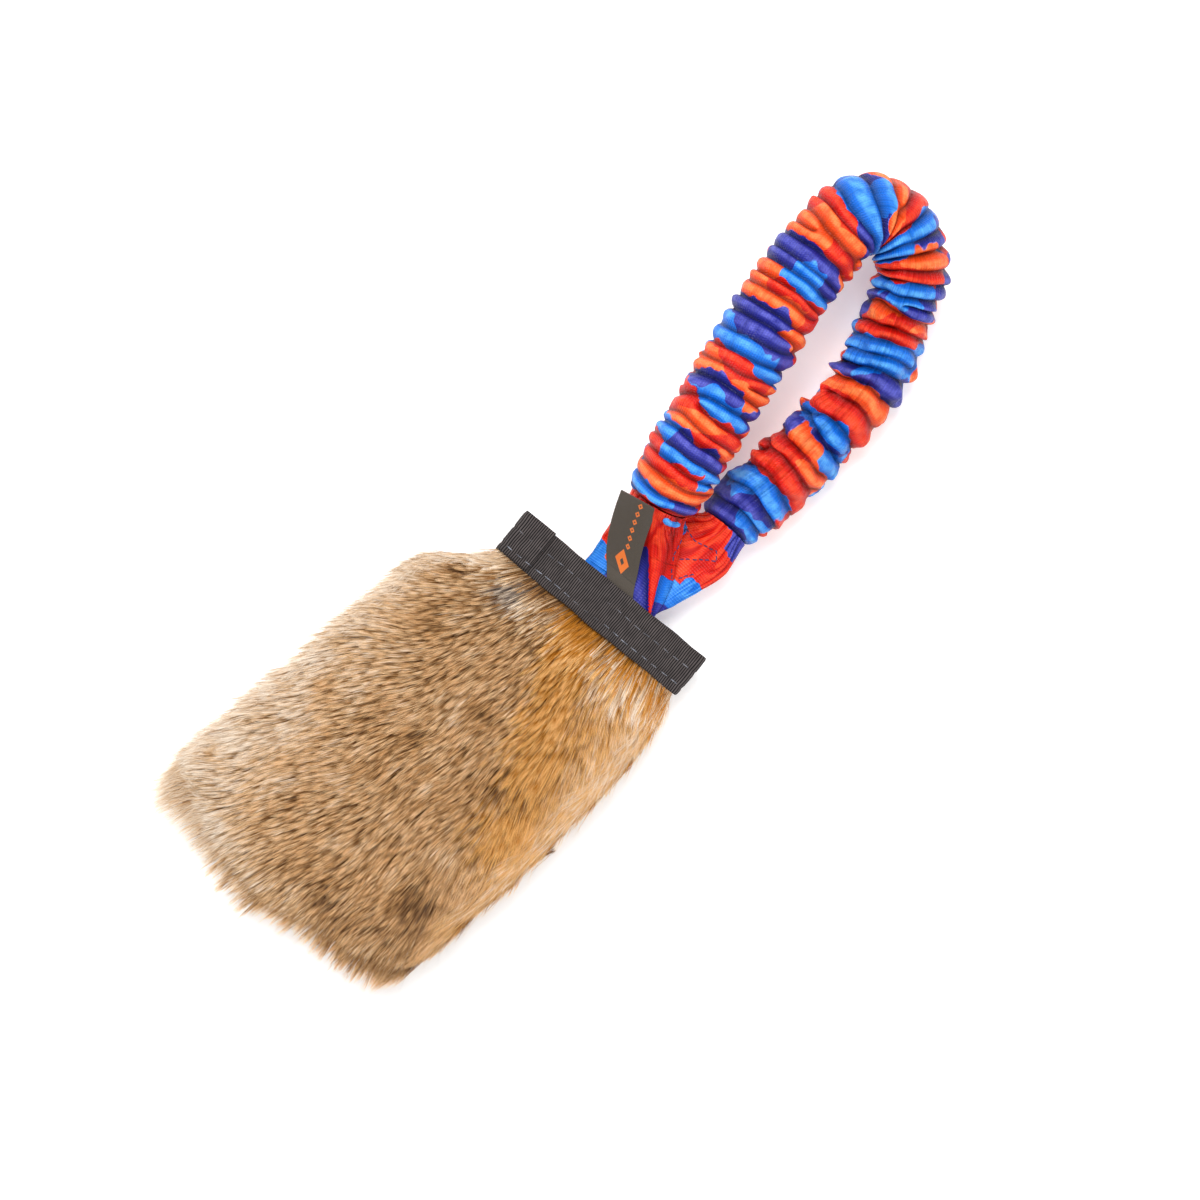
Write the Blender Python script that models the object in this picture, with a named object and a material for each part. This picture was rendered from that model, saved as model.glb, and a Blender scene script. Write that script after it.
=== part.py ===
"""Bungee tug toy: a fur pad, a webbing band and a gathered bungee loop.

Metres, +Z up. The toy lies on the floor plane z = 0. +Y runs from the fur pad to the loop and
+X to the right, seen from above. The origin is on the floor, in the flat that the pad rests on.
"""

import math

import bmesh
import bpy
import numpy as np

# Fits
CLEARANCE = 0.0003  # gap between pieces that touch on the real toy

# Webbing band: one strip wrapped round the top of the pad, its end lapped over its start
BAND_LENGTH = 0.098  # across the toy, over the folded ends
BAND_WIDTH = 0.020  # along the toy
BAND_FROM_ORIGIN = 0.100  # from the origin to the band's middle line
WEBBING_THICKNESS = 0.0013
BAND_LAP = 0.016  # how far the end lies over the start, at the left end
BAND_EASE = 0.014  # length over which the band swells from its thin ends to its middle

# Hides: the skin side of the two pelts, sewn into the lower part of the band
HIDE_THICKNESS = 0.0012
HIDE_SEAM_DEPTH = 0.0145  # how far the hides reach up into the band

# Fur pad: two pelts back to back
PAD_LENGTH = 0.183  # from its fold at the band to its lowest tip
PAD_THICKNESS = 0.036  # over the fur of both pelts, before the resting flat is cut
PAD_FLARE_LEFT = 0.052  # how far the pad spreads past the band on the left
PAD_FLARE_RIGHT = 0.006
PAD_RISE = 0.030  # length over which the fur stands up from the fold to full height
PAD_ROUNDING = 0.034  # length over which the fur falls away at the lower edge
PAD_EDGE = 0.0022  # height of one pelt's cut edge
PAD_FLAT_DEPTH = 0.0005  # depth of the flat that the pad rests on

# Strap: the sleeve's two flattened ends, one on the other, sewn into the upper part of the band
STRAP_WIDTH = 0.0375
STRAP_CENTRE_X = 0.002
TAIL_THICKNESS = 0.0016  # one flattened end, two layers of knit
TAIL_SEAM_DEPTH = 0.016  # how far the tails reach down into the band

# Gathered sleeve and the bungee inside it
FRONT_SLEEVE_DIAMETER = 0.0340  # over the folds of the upper leg
BACK_SLEEVE_DIAMETER = 0.0295  # over the folds of the lower leg
CORD_DIAMETER = 0.010
CORD_END_WIDTH = 0.014  # the bungee's ends are pressed flat where they are sewn into the tails
CORD_END_THICKNESS = 0.0028
FRONT_FOLD_PITCH = 0.0056  # tight, even folds on the upper leg
BACK_FOLD_PITCH = 0.0088  # loose, uneven ones on the lower leg
CROWN_FOLD_PITCH = 0.0068
FRONT_FOLD_DEPTH = 0.0024
BACK_FOLD_DEPTH = 0.0026

# Loop
NECK_LENGTH = 0.0369  # from the strap's fold to the first fold of the sleeve
LOOP_LENGTH = 0.1500  # from there to the crown's centre line
LOOP_CENTRE_X = 0.0034
HAND_OPENING_WIDTH = 0.0155

# Woven label, folded double
LABEL_WIDTH = 0.0155
LABEL_LENGTH = 0.028  # along the toy
LABEL_THICKNESS = 0.0009
LABEL_ROOT_X = 0.0043
LABEL_LEAN = 0.0170  # how far its free end lies to the left of its root
LABEL_RISE = 0.0250  # how far its free end stands above its root
LABEL_SEAM_DEPTH = 0.0048
LABEL_CURL = 1.3  # exponent of the label's rise, which steepens toward its free end

# Sizes that follow from those above
MID_HEIGHT = PAD_THICKNESS / 2 - PAD_FLAT_DEPTH
BAND_HALF_WIDTH = BAND_WIDTH / 2
BAND_LOWER_Y = BAND_FROM_ORIGIN - BAND_HALF_WIDTH
BAND_UPPER_Y = BAND_FROM_ORIGIN + BAND_HALF_WIDTH
PLY_STEP = WEBBING_THICKNESS + CLEARANCE
THIN_HALF_STACK = CLEARANCE / 2 + HIDE_THICKNESS + CLEARANCE
THICK_HALF_STACK = THIN_HALF_STACK + TAIL_THICKNESS + CLEARANCE
FRONT_RADIUS = FRONT_SLEEVE_DIAMETER / 2
BACK_RADIUS = BACK_SLEEVE_DIAMETER / 2
LEG_PAIR = FRONT_RADIUS + BACK_RADIUS
CORD_RADIUS = CORD_DIAMETER / 2
BORE_RADIUS = CORD_RADIUS + CLEARANCE
CORD_STEP = 1.2 * CORD_RADIUS  # distance between the rings of the cord and of its bore

# Joint axes, all along X, and the line of the stretch
PAD_NOSE_RADIUS = CLEARANCE / 2 + 2 * HIDE_THICKNESS
PAD_AXIS_Y = BAND_LOWER_Y - CLEARANCE - PAD_NOSE_RADIUS
STRAP_NOSE_RADIUS = CLEARANCE / 2 + TAIL_THICKNESS
NECK_AXIS_Y = BAND_UPPER_Y + CLEARANCE + STRAP_NOSE_RADIUS
LABEL_AXIS_Y = NECK_AXIS_Y + STRAP_NOSE_RADIUS + CLEARANCE + LABEL_THICKNESS
LABEL_SEAM_Z = MID_HEIGHT + STRAP_NOSE_RADIUS + CLEARANCE + LABEL_THICKNESS / 2
LABEL_AXIS_Z = LABEL_SEAM_Z + LABEL_THICKNESS / 2

# Outline of the pad: (share of the way down its side, share of the flare on that side)
PAD_LEFT_SHARES = (
    (0.0, 0.0), (0.05, 0.24), (0.124, 0.48), (0.242, 0.60), (0.364, 0.67),
    (0.523, 0.75), (0.69, 0.86), (0.83, 0.98), (0.94, 1.0), (1.0, 0.95),
)
PAD_RIGHT_SHARES = (
    (0.0, 0.0), (0.06, 0.5), (0.167, 1.0), (0.33, 0.8), (0.483, 0.4),
    (0.635, 0.0), (0.806, -0.9), (0.93, -1.1), (1.0, -2.0),
)
# Lower edge: (place across, from -1 at the left to 1 at the right, share of the pad's length)
PAD_FOOT_SHARES = (
    (-1.0, 0.855), (-0.85, 0.90), (-0.55, 0.955), (-0.33, 0.98), (-0.04, 1.0),
    (0.33, 0.965), (0.63, 0.955), (0.88, 0.92), (1.0, 0.845),
)
PAD_SQUARENESS = 3.4  # exponent of the pad's cross-section

# Route of the loop's centre line: (share of the leg pair sideways, share of the hand opening
# sideways, share of the loop's length, share of the leg pair upwards above the lower leg)
LOOP_ROUTE_SHARES = (
    (-0.35, 0.0, 0.0, 0.54),
    (-0.39, -0.03, 0.058, 0.63),
    (-0.42, -0.175, 0.205, 0.74),
    (-0.45, -0.35, 0.378, 0.79),
    (-0.48, -0.53, 0.564, 0.815),
    (-0.50, -0.635, 0.731, 0.815),
    (-0.50, -0.61, 0.865, 0.785),
    (-0.43, -0.54, 0.957, 0.71),
    (-0.29, -0.33, 1.0, 0.58),
    (0.17, 0.06, 0.956, 0.40),
    (0.33, 0.19, 0.872, 0.24),
    (0.42, 0.37, 0.763, 0.10),
    (0.48, 0.56, 0.648, 0.025),
    (0.50, 0.60, 0.519, 0.0),
    (0.48, 0.52, 0.378, 0.0),
    (0.47, 0.40, 0.251, 0.0),
    (0.47, 0.16, 0.135, 0.01),
    (0.48, 0.10, 0.058, 0.03),
)
FRONT_LEG_SHARE = 0.375  # share of the route's length at which the crown starts
CROWN_END_SHARE = 0.665  # share at which it ends
LEG_TAPER_SHARE = 0.05  # share of the route's length over which a leg narrows to its tail
LEG_END_SHARE = 0.80  # radius of a leg where its tail begins, as a share of its full radius

# One fold: (share of the way across it, share of its depth that the sleeve is drawn in)
FOLD_SHARES = ((0.0, 1.0), (0.3, 0.12), (0.7, 0.0))
FRONT_FOLD_LEAN = 0.10  # slope of a fold against the leg, at most
BACK_FOLD_LEAN = 0.20
CROWN_FOLD_LEAN = 0.08

# Tail: a loft from flat to round
TAIL_SWELL = 2.3  # exponent of its swelling
TAIL_FLAT_SQUARENESS = 6.0  # exponent of its sewn section; 2 is round
CORD_END_SHARE = 0.5  # share of the tail's length that the bungee's flat end leaves free

RING_POINTS = 14  # points round a sleeve, cord or tail


def clear_scene():
    """Remove whatever the scene holds."""
    for old in list(bpy.data.objects):
        bpy.data.objects.remove(old, do_unlink=True)


def collection(name):
    """Return a new collection linked to the scene."""
    group = bpy.data.collections.new(name)
    bpy.context.scene.collection.children.link(group)
    return group


def material(name, colour, roughness, metallic=0.0):
    """Return a Principled material with the piece's own look."""
    made = bpy.data.materials.new(name)
    made.use_nodes = True
    made.diffuse_color = (*colour, 1.0)
    shader = made.node_tree.nodes["Principled BSDF"]
    shader.inputs["Base Color"].default_value = (*colour, 1.0)
    shader.inputs["Roughness"].default_value = roughness
    shader.inputs["Metallic"].default_value = metallic
    return made


def joint_empty(name, group, place, parent=None):
    """Return an empty that stands on a joint's axis and carries the pieces that move there."""
    empty = bpy.data.objects.new(name, None)
    empty.empty_display_size = CORD_DIAMETER
    group.objects.link(empty)
    empty["place"] = place
    empty.location = place
    if parent is not None:
        empty.parent = parent
        empty.location = [here - there for here, there in zip(place, parent["place"])]
    return empty


def put(name, data, finish, group, carrier=None):
    """Link a piece whose data is in world coordinates, carried by a joint's empty if given."""
    piece = bpy.data.objects.new(name, data)
    data.materials.append(finish)
    group.objects.link(piece)
    if carrier is not None:
        piece.parent = carrier
        piece.location = [-value for value in carrier["place"]]
    return piece


def smooth_step(share):
    """Ease from 0 to 1 with level ends."""
    share = np.clip(share, 0.0, 1.0)
    return share * share * (3.0 - 2.0 * share)


def table(shares, place):
    """Read a table of (place, value) pairs at a place, straight between its entries."""
    places, values = zip(*shares)
    return np.interp(place, places, values)


def smooth_route(points, count):
    """Sample a natural cubic spline through points, evenly by length; also return its length."""
    points = np.asarray(points, dtype=float)
    knots = np.concatenate(([0.0], np.cumsum(np.linalg.norm(np.diff(points, axis=0), axis=1))))
    steps = np.diff(knots)
    last = len(points) - 1
    system = np.eye(len(points))
    bends = np.zeros_like(points)
    for row in range(1, last):
        before, after = steps[row - 1], steps[row]
        system[row, row - 1:row + 2] = before, 2.0 * (before + after), after
        slopes = (points[row + 1] - points[row]) / after - (points[row] - points[row - 1]) / before
        bends[row] = 6.0 * slopes
    bends = np.linalg.solve(system, bends)
    fine = np.linspace(0.0, knots[-1], 40 * count)
    span = np.clip(np.searchsorted(knots, fine, side="right") - 1, 0, last - 1)
    width = steps[span][:, None]
    right = (fine - knots[span])[:, None] / width
    left = 1.0 - right
    curve = left * points[span] + right * points[span + 1]
    curve += (left**3 - left) * bends[span] * width**2 / 6.0
    curve += (right**3 - right) * bends[span + 1] * width**2 / 6.0
    run = np.concatenate(([0.0], np.cumsum(np.linalg.norm(np.diff(curve, axis=0), axis=1))))
    even = np.linspace(0.0, run[-1], count)
    return np.column_stack([np.interp(even, run, curve[:, axis]) for axis in range(3)]), run[-1]


class Route:
    """A smooth centre line with a frame at every distance along it."""

    def __init__(self, points, count=600):
        self.line, self.length = smooth_route(points, count)
        self.distances = np.linspace(0.0, self.length, count)
        self.tangents = np.gradient(self.line, self.distances, axis=0)

    def at(self, distance):
        """Return the point, the level sideways direction, the upward one and the tangent."""
        point = [np.interp(distance, self.distances, self.line[:, axis]) for axis in range(3)]
        along = [np.interp(distance, self.distances, self.tangents[:, axis]) for axis in range(3)]
        along = np.array(along) / np.linalg.norm(along)
        side = np.cross(along, (0.0, 0.0, 1.0))
        side /= np.linalg.norm(side)
        return np.array(point), side, np.cross(side, along), along


def ring(frame, half_width, half_height, squareness=2.0, tilt=0.0, tilt_angle=0.0):
    """Return a closed ring in a frame: a circle, an oval or a squarer oval, tilted if asked."""
    point, side, up, along = frame
    angles = 2.0 * math.pi * np.arange(RING_POINTS) / RING_POINTS
    wide, high = np.cos(angles), np.sin(angles)
    power = 2.0 / squareness
    across = half_width * np.sign(wide) * np.abs(wide) ** power
    rise = half_height * np.sign(high) * np.abs(high) ** power
    shift = tilt * half_width * np.cos(angles - tilt_angle)
    return point + np.outer(across, side) + np.outer(rise, up) + np.outer(shift, along)


def closed_mesh(name, form):
    """Return a mesh from a closed form, its faces turned outwards and its round faces smooth."""
    bmesh.ops.recalc_face_normals(form, faces=form.faces)
    if form.calc_volume(signed=True) < 0.0:
        bmesh.ops.reverse_faces(form, faces=form.faces)
    mesh = bpy.data.meshes.new(name)
    form.to_mesh(mesh)
    form.free()
    mesh.shade_smooth()
    mesh.set_sharp_from_angle(angle=math.radians(50.0))
    return mesh


def skin(name, rings, hollow=False):
    """Return a closed mesh through rings of equal count.

    A solid body has its first and last rings filled. In a hollow one the rings run out along
    the outside and back along the bore, and the last ring joins the first.
    """
    form = bmesh.new()
    rows = [[form.verts.new(point) for point in points] for points in rings]
    count = len(rows[0])
    pairs = list(zip(rows, rows[1:]))
    if hollow:
        pairs.append((rows[-1], rows[0]))
    for lower, upper in pairs:
        for here in range(count):
            after = (here + 1) % count
            form.faces.new((lower[here], lower[after], upper[after], upper[here]))
    if not hollow:
        form.faces.new(list(reversed(rows[0])))
        form.faces.new(rows[-1])
    return closed_mesh(name, form)


# Band body

def band_half_stack(x):
    """Half the height inside the band: thin at its ends, swollen where the strap lies."""
    strap_left = STRAP_CENTRE_X - STRAP_WIDTH / 2 - CLEARANCE
    strap_right = STRAP_CENTRE_X + STRAP_WIDTH / 2 + CLEARANCE
    left = smooth_step((x - strap_left + BAND_EASE) / BAND_EASE)
    right = smooth_step((strap_right + BAND_EASE - x) / BAND_EASE)
    return THIN_HALF_STACK + (THICK_HALF_STACK - THIN_HALF_STACK) * np.minimum(left, right)


def strip_outline(line, thickness):
    """Return the closed outline of a strip of even thickness along a line in a plane."""
    line = np.asarray(line)
    along = np.gradient(line, axis=0)
    along /= np.linalg.norm(along, axis=1)[:, None]
    normal = np.column_stack((-along[:, 1], along[:, 0])) * thickness / 2
    return np.vstack((line + normal, (line - normal)[::-1]))


def extruded_strip(name, outline, depth):
    """Return a curve that stands in the XZ plane and is extruded evenly to both sides."""
    curve = bpy.data.curves.new(name, "CURVE")
    curve.dimensions = "2D"
    curve.fill_mode = "BOTH"
    curve.extrude = depth / 2
    spline = curve.splines.new("POLY")
    spline.points.add(len(outline) - 1)
    for point, (x, z) in zip(spline.points, outline):
        point.co = (x, z, 0.0, 1.0)
    spline.use_cyclic_u = True
    return curve


def stand_strip(name, outline, depth, centre_y, finish, group):
    """Place an extruded strip upright at its height in the toy."""
    piece = put(name, extruded_strip(name, outline, depth), finish, group)
    piece.rotation_euler = (math.radians(90.0), 0.0, 0.0)
    piece.location = (0.0, centre_y, MID_HEIGHT)
    return piece


def webbing_line():
    """Return the strip's middle line, from its hidden start round to its lapped end."""
    half_ply = WEBBING_THICKNESS / 2
    bend = THIN_HALF_STACK + half_ply
    straight = BAND_LENGTH / 2 - bend - half_ply
    lapped_straight = straight - PLY_STEP / 2
    across = np.linspace(-lapped_straight, straight, 41)
    heights = band_half_stack(across) + half_ply
    angles = np.linspace(math.pi / 2, -math.pi / 2, 9)[1:-1]
    right_bend = np.column_stack((straight + bend * np.cos(angles), bend * np.sin(angles)))
    back_run = np.column_stack((across, -heights))[::-1]
    lap_bend_radius = bend + PLY_STEP / 2
    left_bend = np.column_stack((
        -lapped_straight - lap_bend_radius * np.cos(angles),
        PLY_STEP / 2 - lap_bend_radius * np.sin(angles),
    ))
    lap_end = -BAND_LENGTH / 2 + BAND_LAP
    lap = np.linspace(-lapped_straight, lap_end, 8)
    lap_run = np.column_stack((lap, band_half_stack(lap) + half_ply + PLY_STEP))
    front_run = np.column_stack((across, heights))
    return np.vstack((front_run, right_bend, back_run, left_bend, lap_run))


def make_webbing_band(group):
    """The black ribbed webbing, wrapped once round the toy."""
    outline = strip_outline(webbing_line(), WEBBING_THICKNESS)
    finish = material("black_webbing", (0.022, 0.022, 0.026), 0.78)
    return stand_strip("webbing_band", outline, BAND_WIDTH, BAND_FROM_ORIGIN, finish, group)


def make_hide_edges(group):
    """The top edges of the two hides, under the webbing and sewn through with it."""
    finish = material("tanned_hide", (0.62, 0.52, 0.40), 0.85)
    half_length = BAND_LENGTH / 2 - WEBBING_THICKNESS - PLY_STEP - CLEARANCE
    across = np.linspace(-half_length, half_length, 33)
    heights = band_half_stack(across) - CLEARANCE - HIDE_THICKNESS / 2
    centre_y = BAND_LOWER_Y + HIDE_SEAM_DEPTH / 2
    for name, side in (("front_hide_edge", 1.0), ("back_hide_edge", -1.0)):
        outline = strip_outline(np.column_stack((across, side * heights)), HIDE_THICKNESS)
        stand_strip(name, outline, HIDE_SEAM_DEPTH, centre_y, finish, group)


def box(name, low, high):
    """Return a box mesh between two corners."""
    form = bmesh.new()
    bmesh.ops.create_cube(form, size=1.0)
    low, high = np.array(low), np.array(high)
    for vert in form.verts:
        vert.co = (low + high) / 2 + np.array(vert.co) * (high - low)
    return closed_mesh(name, form)


def make_tail_ends(group):
    """The sewn ends of the two sleeve tails, between the hides."""
    finish = material("orange_knit_seam", (0.80, 0.16, 0.05), 0.6)
    left = STRAP_CENTRE_X - STRAP_WIDTH / 2
    right = STRAP_CENTRE_X + STRAP_WIDTH / 2
    low_y = BAND_UPPER_Y - TAIL_SEAM_DEPTH
    for name, side in (("front_tail_end", 1.0), ("back_tail_end", -1.0)):
        inner = MID_HEIGHT + side * CLEARANCE / 2
        outer = inner + side * TAIL_THICKNESS
        low = (left, low_y, min(inner, outer))
        high = (right, BAND_UPPER_Y, max(inner, outer))
        put(name, box(name, low, high), finish, group)


def make_label_root(group):
    """The label's two folded ends, under the webbing's upper edge and on the front tail."""
    finish = material("label_seam", (0.055, 0.050, 0.048), 0.7)
    low_z = LABEL_SEAM_Z - LABEL_THICKNESS / 2
    low = (LABEL_ROOT_X - LABEL_WIDTH / 2, BAND_UPPER_Y - LABEL_SEAM_DEPTH, low_z)
    high = (LABEL_ROOT_X + LABEL_WIDTH / 2, BAND_UPPER_Y, low_z + LABEL_THICKNESS)
    put("label_root", box("label_root", low, high), finish, group)


# Pad body

def pad_rows():
    """Return the rows of the pad's grid, as (share down the pad, nose offset toward the band)."""
    nose = [(0.0, PAD_NOSE_RADIUS * math.cos(angle)) for angle in np.radians((12.0, 40.0, 66.0))]
    body = [(share, 0.0) for share in np.linspace(0.0, 1.0, 8)[:-1] ** 1.5 * 0.5]
    foot = [(share, 0.0) for share in np.linspace(0.5, 0.85, 6)]
    edge = [(0.85 + 0.15 * math.sin(angle), 0.0) for angle in np.radians((18, 36, 54, 72, 90))]
    return nose + body + foot + edge


def pad_height(across, share, foot, nose_offset):
    """Return the height of one pelt over the pad's middle plane."""
    if nose_offset > 0.0:
        full = math.sqrt(PAD_NOSE_RADIUS**2 - nose_offset**2)
    else:
        length = PAD_LENGTH * foot
        down = share * length
        peak = PAD_THICKNESS / 2
        full = PAD_NOSE_RADIUS + (peak - PAD_NOSE_RADIUS) * smooth_step(down / PAD_RISE)
        near_end = np.clip((down - length + PAD_ROUNDING) / PAD_ROUNDING, 0.0, 1.0)
        full = max(PAD_EDGE, full * math.sqrt(1.0 - near_end**2.4))
    crown = (1.0 - abs(across) ** PAD_SQUARENESS) ** (1.0 / PAD_SQUARENESS)
    edge = min(PAD_EDGE, full)
    return edge + (full - edge) * crown


def pad_point(across, share, nose_offset, side):
    """Return a point of a pelt's outer face, above the middle plane for side 1, below for -1."""
    half_nose = BAND_LENGTH / 2 - WEBBING_THICKNESS
    left = -half_nose - PAD_FLARE_LEFT * table(PAD_LEFT_SHARES, share)
    right = half_nose + PAD_FLARE_RIGHT * table(PAD_RIGHT_SHARES, share)
    foot = table(PAD_FOOT_SHARES, across)
    x = left + (right - left) * (across + 1.0) / 2.0
    y = PAD_AXIS_Y + nose_offset - PAD_LENGTH * share * foot
    height = pad_height(across, share, foot, nose_offset)
    return x, y, max(MID_HEIGHT + side * height, 0.0)


def pelt_mesh(name, side):
    """Return one pelt: a grid drawn to the outline, crowned, and extruded to its flat hide."""
    rows = pad_rows()
    columns = np.sin(np.linspace(-1.0, 1.0, 17) * math.pi / 2)
    form = bmesh.new()
    verts = [
        [form.verts.new(pad_point(across, share, offset, side)) for across in columns]
        for share, offset in rows
    ]
    for upper, lower in zip(verts, verts[1:]):
        for here in range(len(columns) - 1):
            form.faces.new((upper[here], lower[here], lower[here + 1], upper[here + 1]))
    made = bmesh.ops.extrude_face_region(form, geom=form.faces[:])
    flat = MID_HEIGHT + side * CLEARANCE / 2
    for item in made["geom"]:
        if isinstance(item, bmesh.types.BMVert):
            item.co.z = flat
    return closed_mesh(name, form)


def make_pelts(group, carrier):
    """The two rabbit pelts, hide to hide, with their ragged outline."""
    finish = material("agouti_fur", (0.36, 0.24, 0.14), 0.95)
    put("front_pelt", pelt_mesh("front_pelt", 1.0), finish, group, carrier)
    put("back_pelt", pelt_mesh("back_pelt", -1.0), finish, group, carrier)


# Neck and loop

def loop_route():
    """Return the centre line of sleeve and cord, from the front tail round to the back tail."""
    points = []
    for pair_share, opening_share, along_share, rise_share in LOOP_ROUTE_SHARES:
        points.append((
            LOOP_CENTRE_X + pair_share * LEG_PAIR + opening_share * HAND_OPENING_WIDTH,
            NECK_AXIS_Y + NECK_LENGTH + along_share * LOOP_LENGTH,
            BACK_RADIUS + rise_share * LEG_PAIR,
        ))
    return Route(points)


def sleeve_radius(share):
    """Radius over the folds at a share of the route: thicker on the front leg."""
    start = smooth_step(share / LEG_TAPER_SHARE)
    end = smooth_step((1.0 - share) / LEG_TAPER_SHARE)
    swell = LEG_END_SHARE + (1.0 - LEG_END_SHARE) * min(start, end)
    blend = smooth_step((share - FRONT_LEG_SHARE) / (CROWN_END_SHARE - FRONT_LEG_SHARE))
    return swell * (FRONT_RADIUS + (BACK_RADIUS - FRONT_RADIUS) * blend)


def fold_rings(route, start, end, pitch, depth, lean):
    """Return rings of gathered folds: a sharp valley, then a crest with two shoulders.

    Folds differ in width, depth and lean by sines of their number that never fall in step. The
    first and last rings are square to the route, where the next piece meets them.
    """
    count = max(2, round((end - start) / pitch))
    numbers = np.arange(count)
    widths = 1.0 + 0.25 * np.sin(2.4 * numbers + 1.0)
    depths = depth * (1.0 + 0.3 * np.sin(1.7 * numbers + 0.5))
    depths[0] = depth
    tilts = lean * np.sin(0.9 * numbers)
    edges = start + (end - start) * np.concatenate(([0.0], np.cumsum(widths))) / widths.sum()
    rings = []
    for number in numbers:
        for place, drawn_in in FOLD_SHARES:
            distance = edges[number] + (edges[number + 1] - edges[number]) * place
            radius = sleeve_radius(distance / route.length) - depths[number] * drawn_in
            rings.append(ring(route.at(distance), radius, radius, tilt=tilts[number],
                              tilt_angle=2.4 * number))
    radius = sleeve_radius(end / route.length) - depth
    rings.append(ring(route.at(end), radius, radius))
    return rings


def round_rings(route, start, end, radius):
    """Return plain rings of one radius, at the same places for the cord and for its bore."""
    steps = max(3, round((end - start) / CORD_STEP))
    places = np.linspace(start, end, steps + 1)
    return [ring(route.at(here), radius, radius) for here in places]


def sleeve_mesh(name, route, start, end, pitch, depth, lean):
    """Return a gathered sleeve with its bore, between two distances along the route."""
    outside = fold_rings(route, start, end, pitch, depth, lean)
    bore = round_rings(route, start, end, BORE_RADIUS)[::-1]
    return skin(name, outside + bore, hollow=True)


def cord_mesh(name, route, start, end):
    """Return the bungee cord between two distances along the route."""
    return skin(name, round_rings(route, start, end, CORD_RADIUS))


class Tail:
    """A sleeve's end: lofted from the sewn flat, rounded about the fold, to the leg's start."""

    def __init__(self, route, side):
        self.side = side
        front = side > 0.0
        self.leg_distance = 0.0 if front else route.length
        point, _, _, along = route.at(self.leg_distance)
        self.along = along if front else -along
        fold_depth = FRONT_FOLD_DEPTH if front else BACK_FOLD_DEPTH
        self.radius = sleeve_radius(self.leg_distance / route.length) - fold_depth
        self.start = np.array((STRAP_CENTRE_X, NECK_AXIS_Y, MID_HEIGHT))
        self.end = point - self.along * CLEARANCE
        self.reach = np.linalg.norm(self.end - self.start)

    def frame(self, share):
        """Return the frame at a share of the way from the fold to the leg."""
        ends = (self.start, (0.0, self.reach, 0.0), self.end, self.along * self.reach)
        lift = self.side * (CLEARANCE + TAIL_THICKNESS) / 2 * (1.0 - smooth_step(share))
        place = hermite(*ends, share) + (0.0, 0.0, lift)
        return level_frame(place, hermite_slope(*ends, share))

    def nose_ring(self, angle):
        """Return a ring of the quarter round that turns about the fold's axis."""
        offset = STRAP_NOSE_RADIUS * math.cos(angle)
        outer = STRAP_NOSE_RADIUS * math.sin(angle)
        inner = CLEARANCE / 2
        centre = self.start + (0.0, -offset, self.side * (inner + outer) / 2)
        frame = level_frame(centre, (0.0, 1.0, 0.0))
        return ring(frame, STRAP_WIDTH / 2, (outer - inner) / 2, TAIL_FLAT_SQUARENESS)

    def body_ring(self, share):
        """Return a ring of the loft from flat to round."""
        ease = smooth_step(share)
        half_width = STRAP_WIDTH / 2 + (self.radius - STRAP_WIDTH / 2) * ease
        half_flat = TAIL_THICKNESS / 2
        half_height = half_flat + (self.radius - half_flat) * share**TAIL_SWELL
        squareness = TAIL_FLAT_SQUARENESS + (2.0 - TAIL_FLAT_SQUARENESS) * ease
        return ring(self.frame(share), half_width, half_height, squareness)

    def mesh(self, name):
        """Return the tail's solid."""
        nose = [self.nose_ring(angle) for angle in np.radians((12.0, 45.0, 70.0))]
        body = [self.body_ring(share) for share in np.linspace(0.0, 1.0, 12)]
        return skin(name, nose + body)

    def cord_end_rings(self, grown=0.0):
        """Return the rings of the bungee's end, from its sewn flat tip to its round."""
        rings = []
        for share in np.linspace(CORD_END_SHARE, 1.0, 6):
            ease = smooth_step((share - CORD_END_SHARE) / (1.0 - CORD_END_SHARE))
            half_width = CORD_END_WIDTH / 2 + (CORD_RADIUS - CORD_END_WIDTH / 2) * ease
            half_height = CORD_END_THICKNESS / 2 + (CORD_RADIUS - CORD_END_THICKNESS / 2) * ease
            rings.append(ring(self.frame(share), half_width + grown, half_height + grown))
        return rings

    def pocket_mesh(self, name):
        """Return the cutter for the bungee's end, which runs out past the tail's end."""
        rings = self.cord_end_rings(CLEARANCE)
        rings[0] -= self.frame(CORD_END_SHARE)[3] * CLEARANCE
        rings.append(rings[-1] + self.along * CORD_RADIUS)
        return skin(name, rings)


def level_frame(point, direction):
    """Return a frame at a point whose sideways direction is level."""
    along = np.array(direction) / np.linalg.norm(direction)
    side = np.cross(along, (0.0, 0.0, 1.0))
    side /= np.linalg.norm(side)
    return np.array(point), side, np.cross(side, along), along


def hermite(start, leave, end, arrive, share):
    """Return a point on the curve that leaves one point and arrives at another as told."""
    square, cube = share**2, share**3
    return (
        (2 * cube - 3 * square + 1) * np.asarray(start)
        + (cube - 2 * square + share) * np.asarray(leave)
        + (3 * square - 2 * cube) * np.asarray(end)
        + (cube - square) * np.asarray(arrive)
    )


def hermite_slope(start, leave, end, arrive, share):
    """Return that curve's direction."""
    square = share**2
    return (
        6 * (square - share) * (np.asarray(start) - np.asarray(end))
        + (3 * square - 4 * share + 1) * np.asarray(leave)
        + (3 * square - 2 * share) * np.asarray(arrive)
    )


def cut(piece, cutter):
    """Cut one piece by another."""
    cutter.hide_render = True
    cutter.display_type = "WIRE"
    modifier = piece.modifiers.new(cutter.name, "BOOLEAN")
    modifier.operation = "DIFFERENCE"
    modifier.object = cutter


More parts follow.
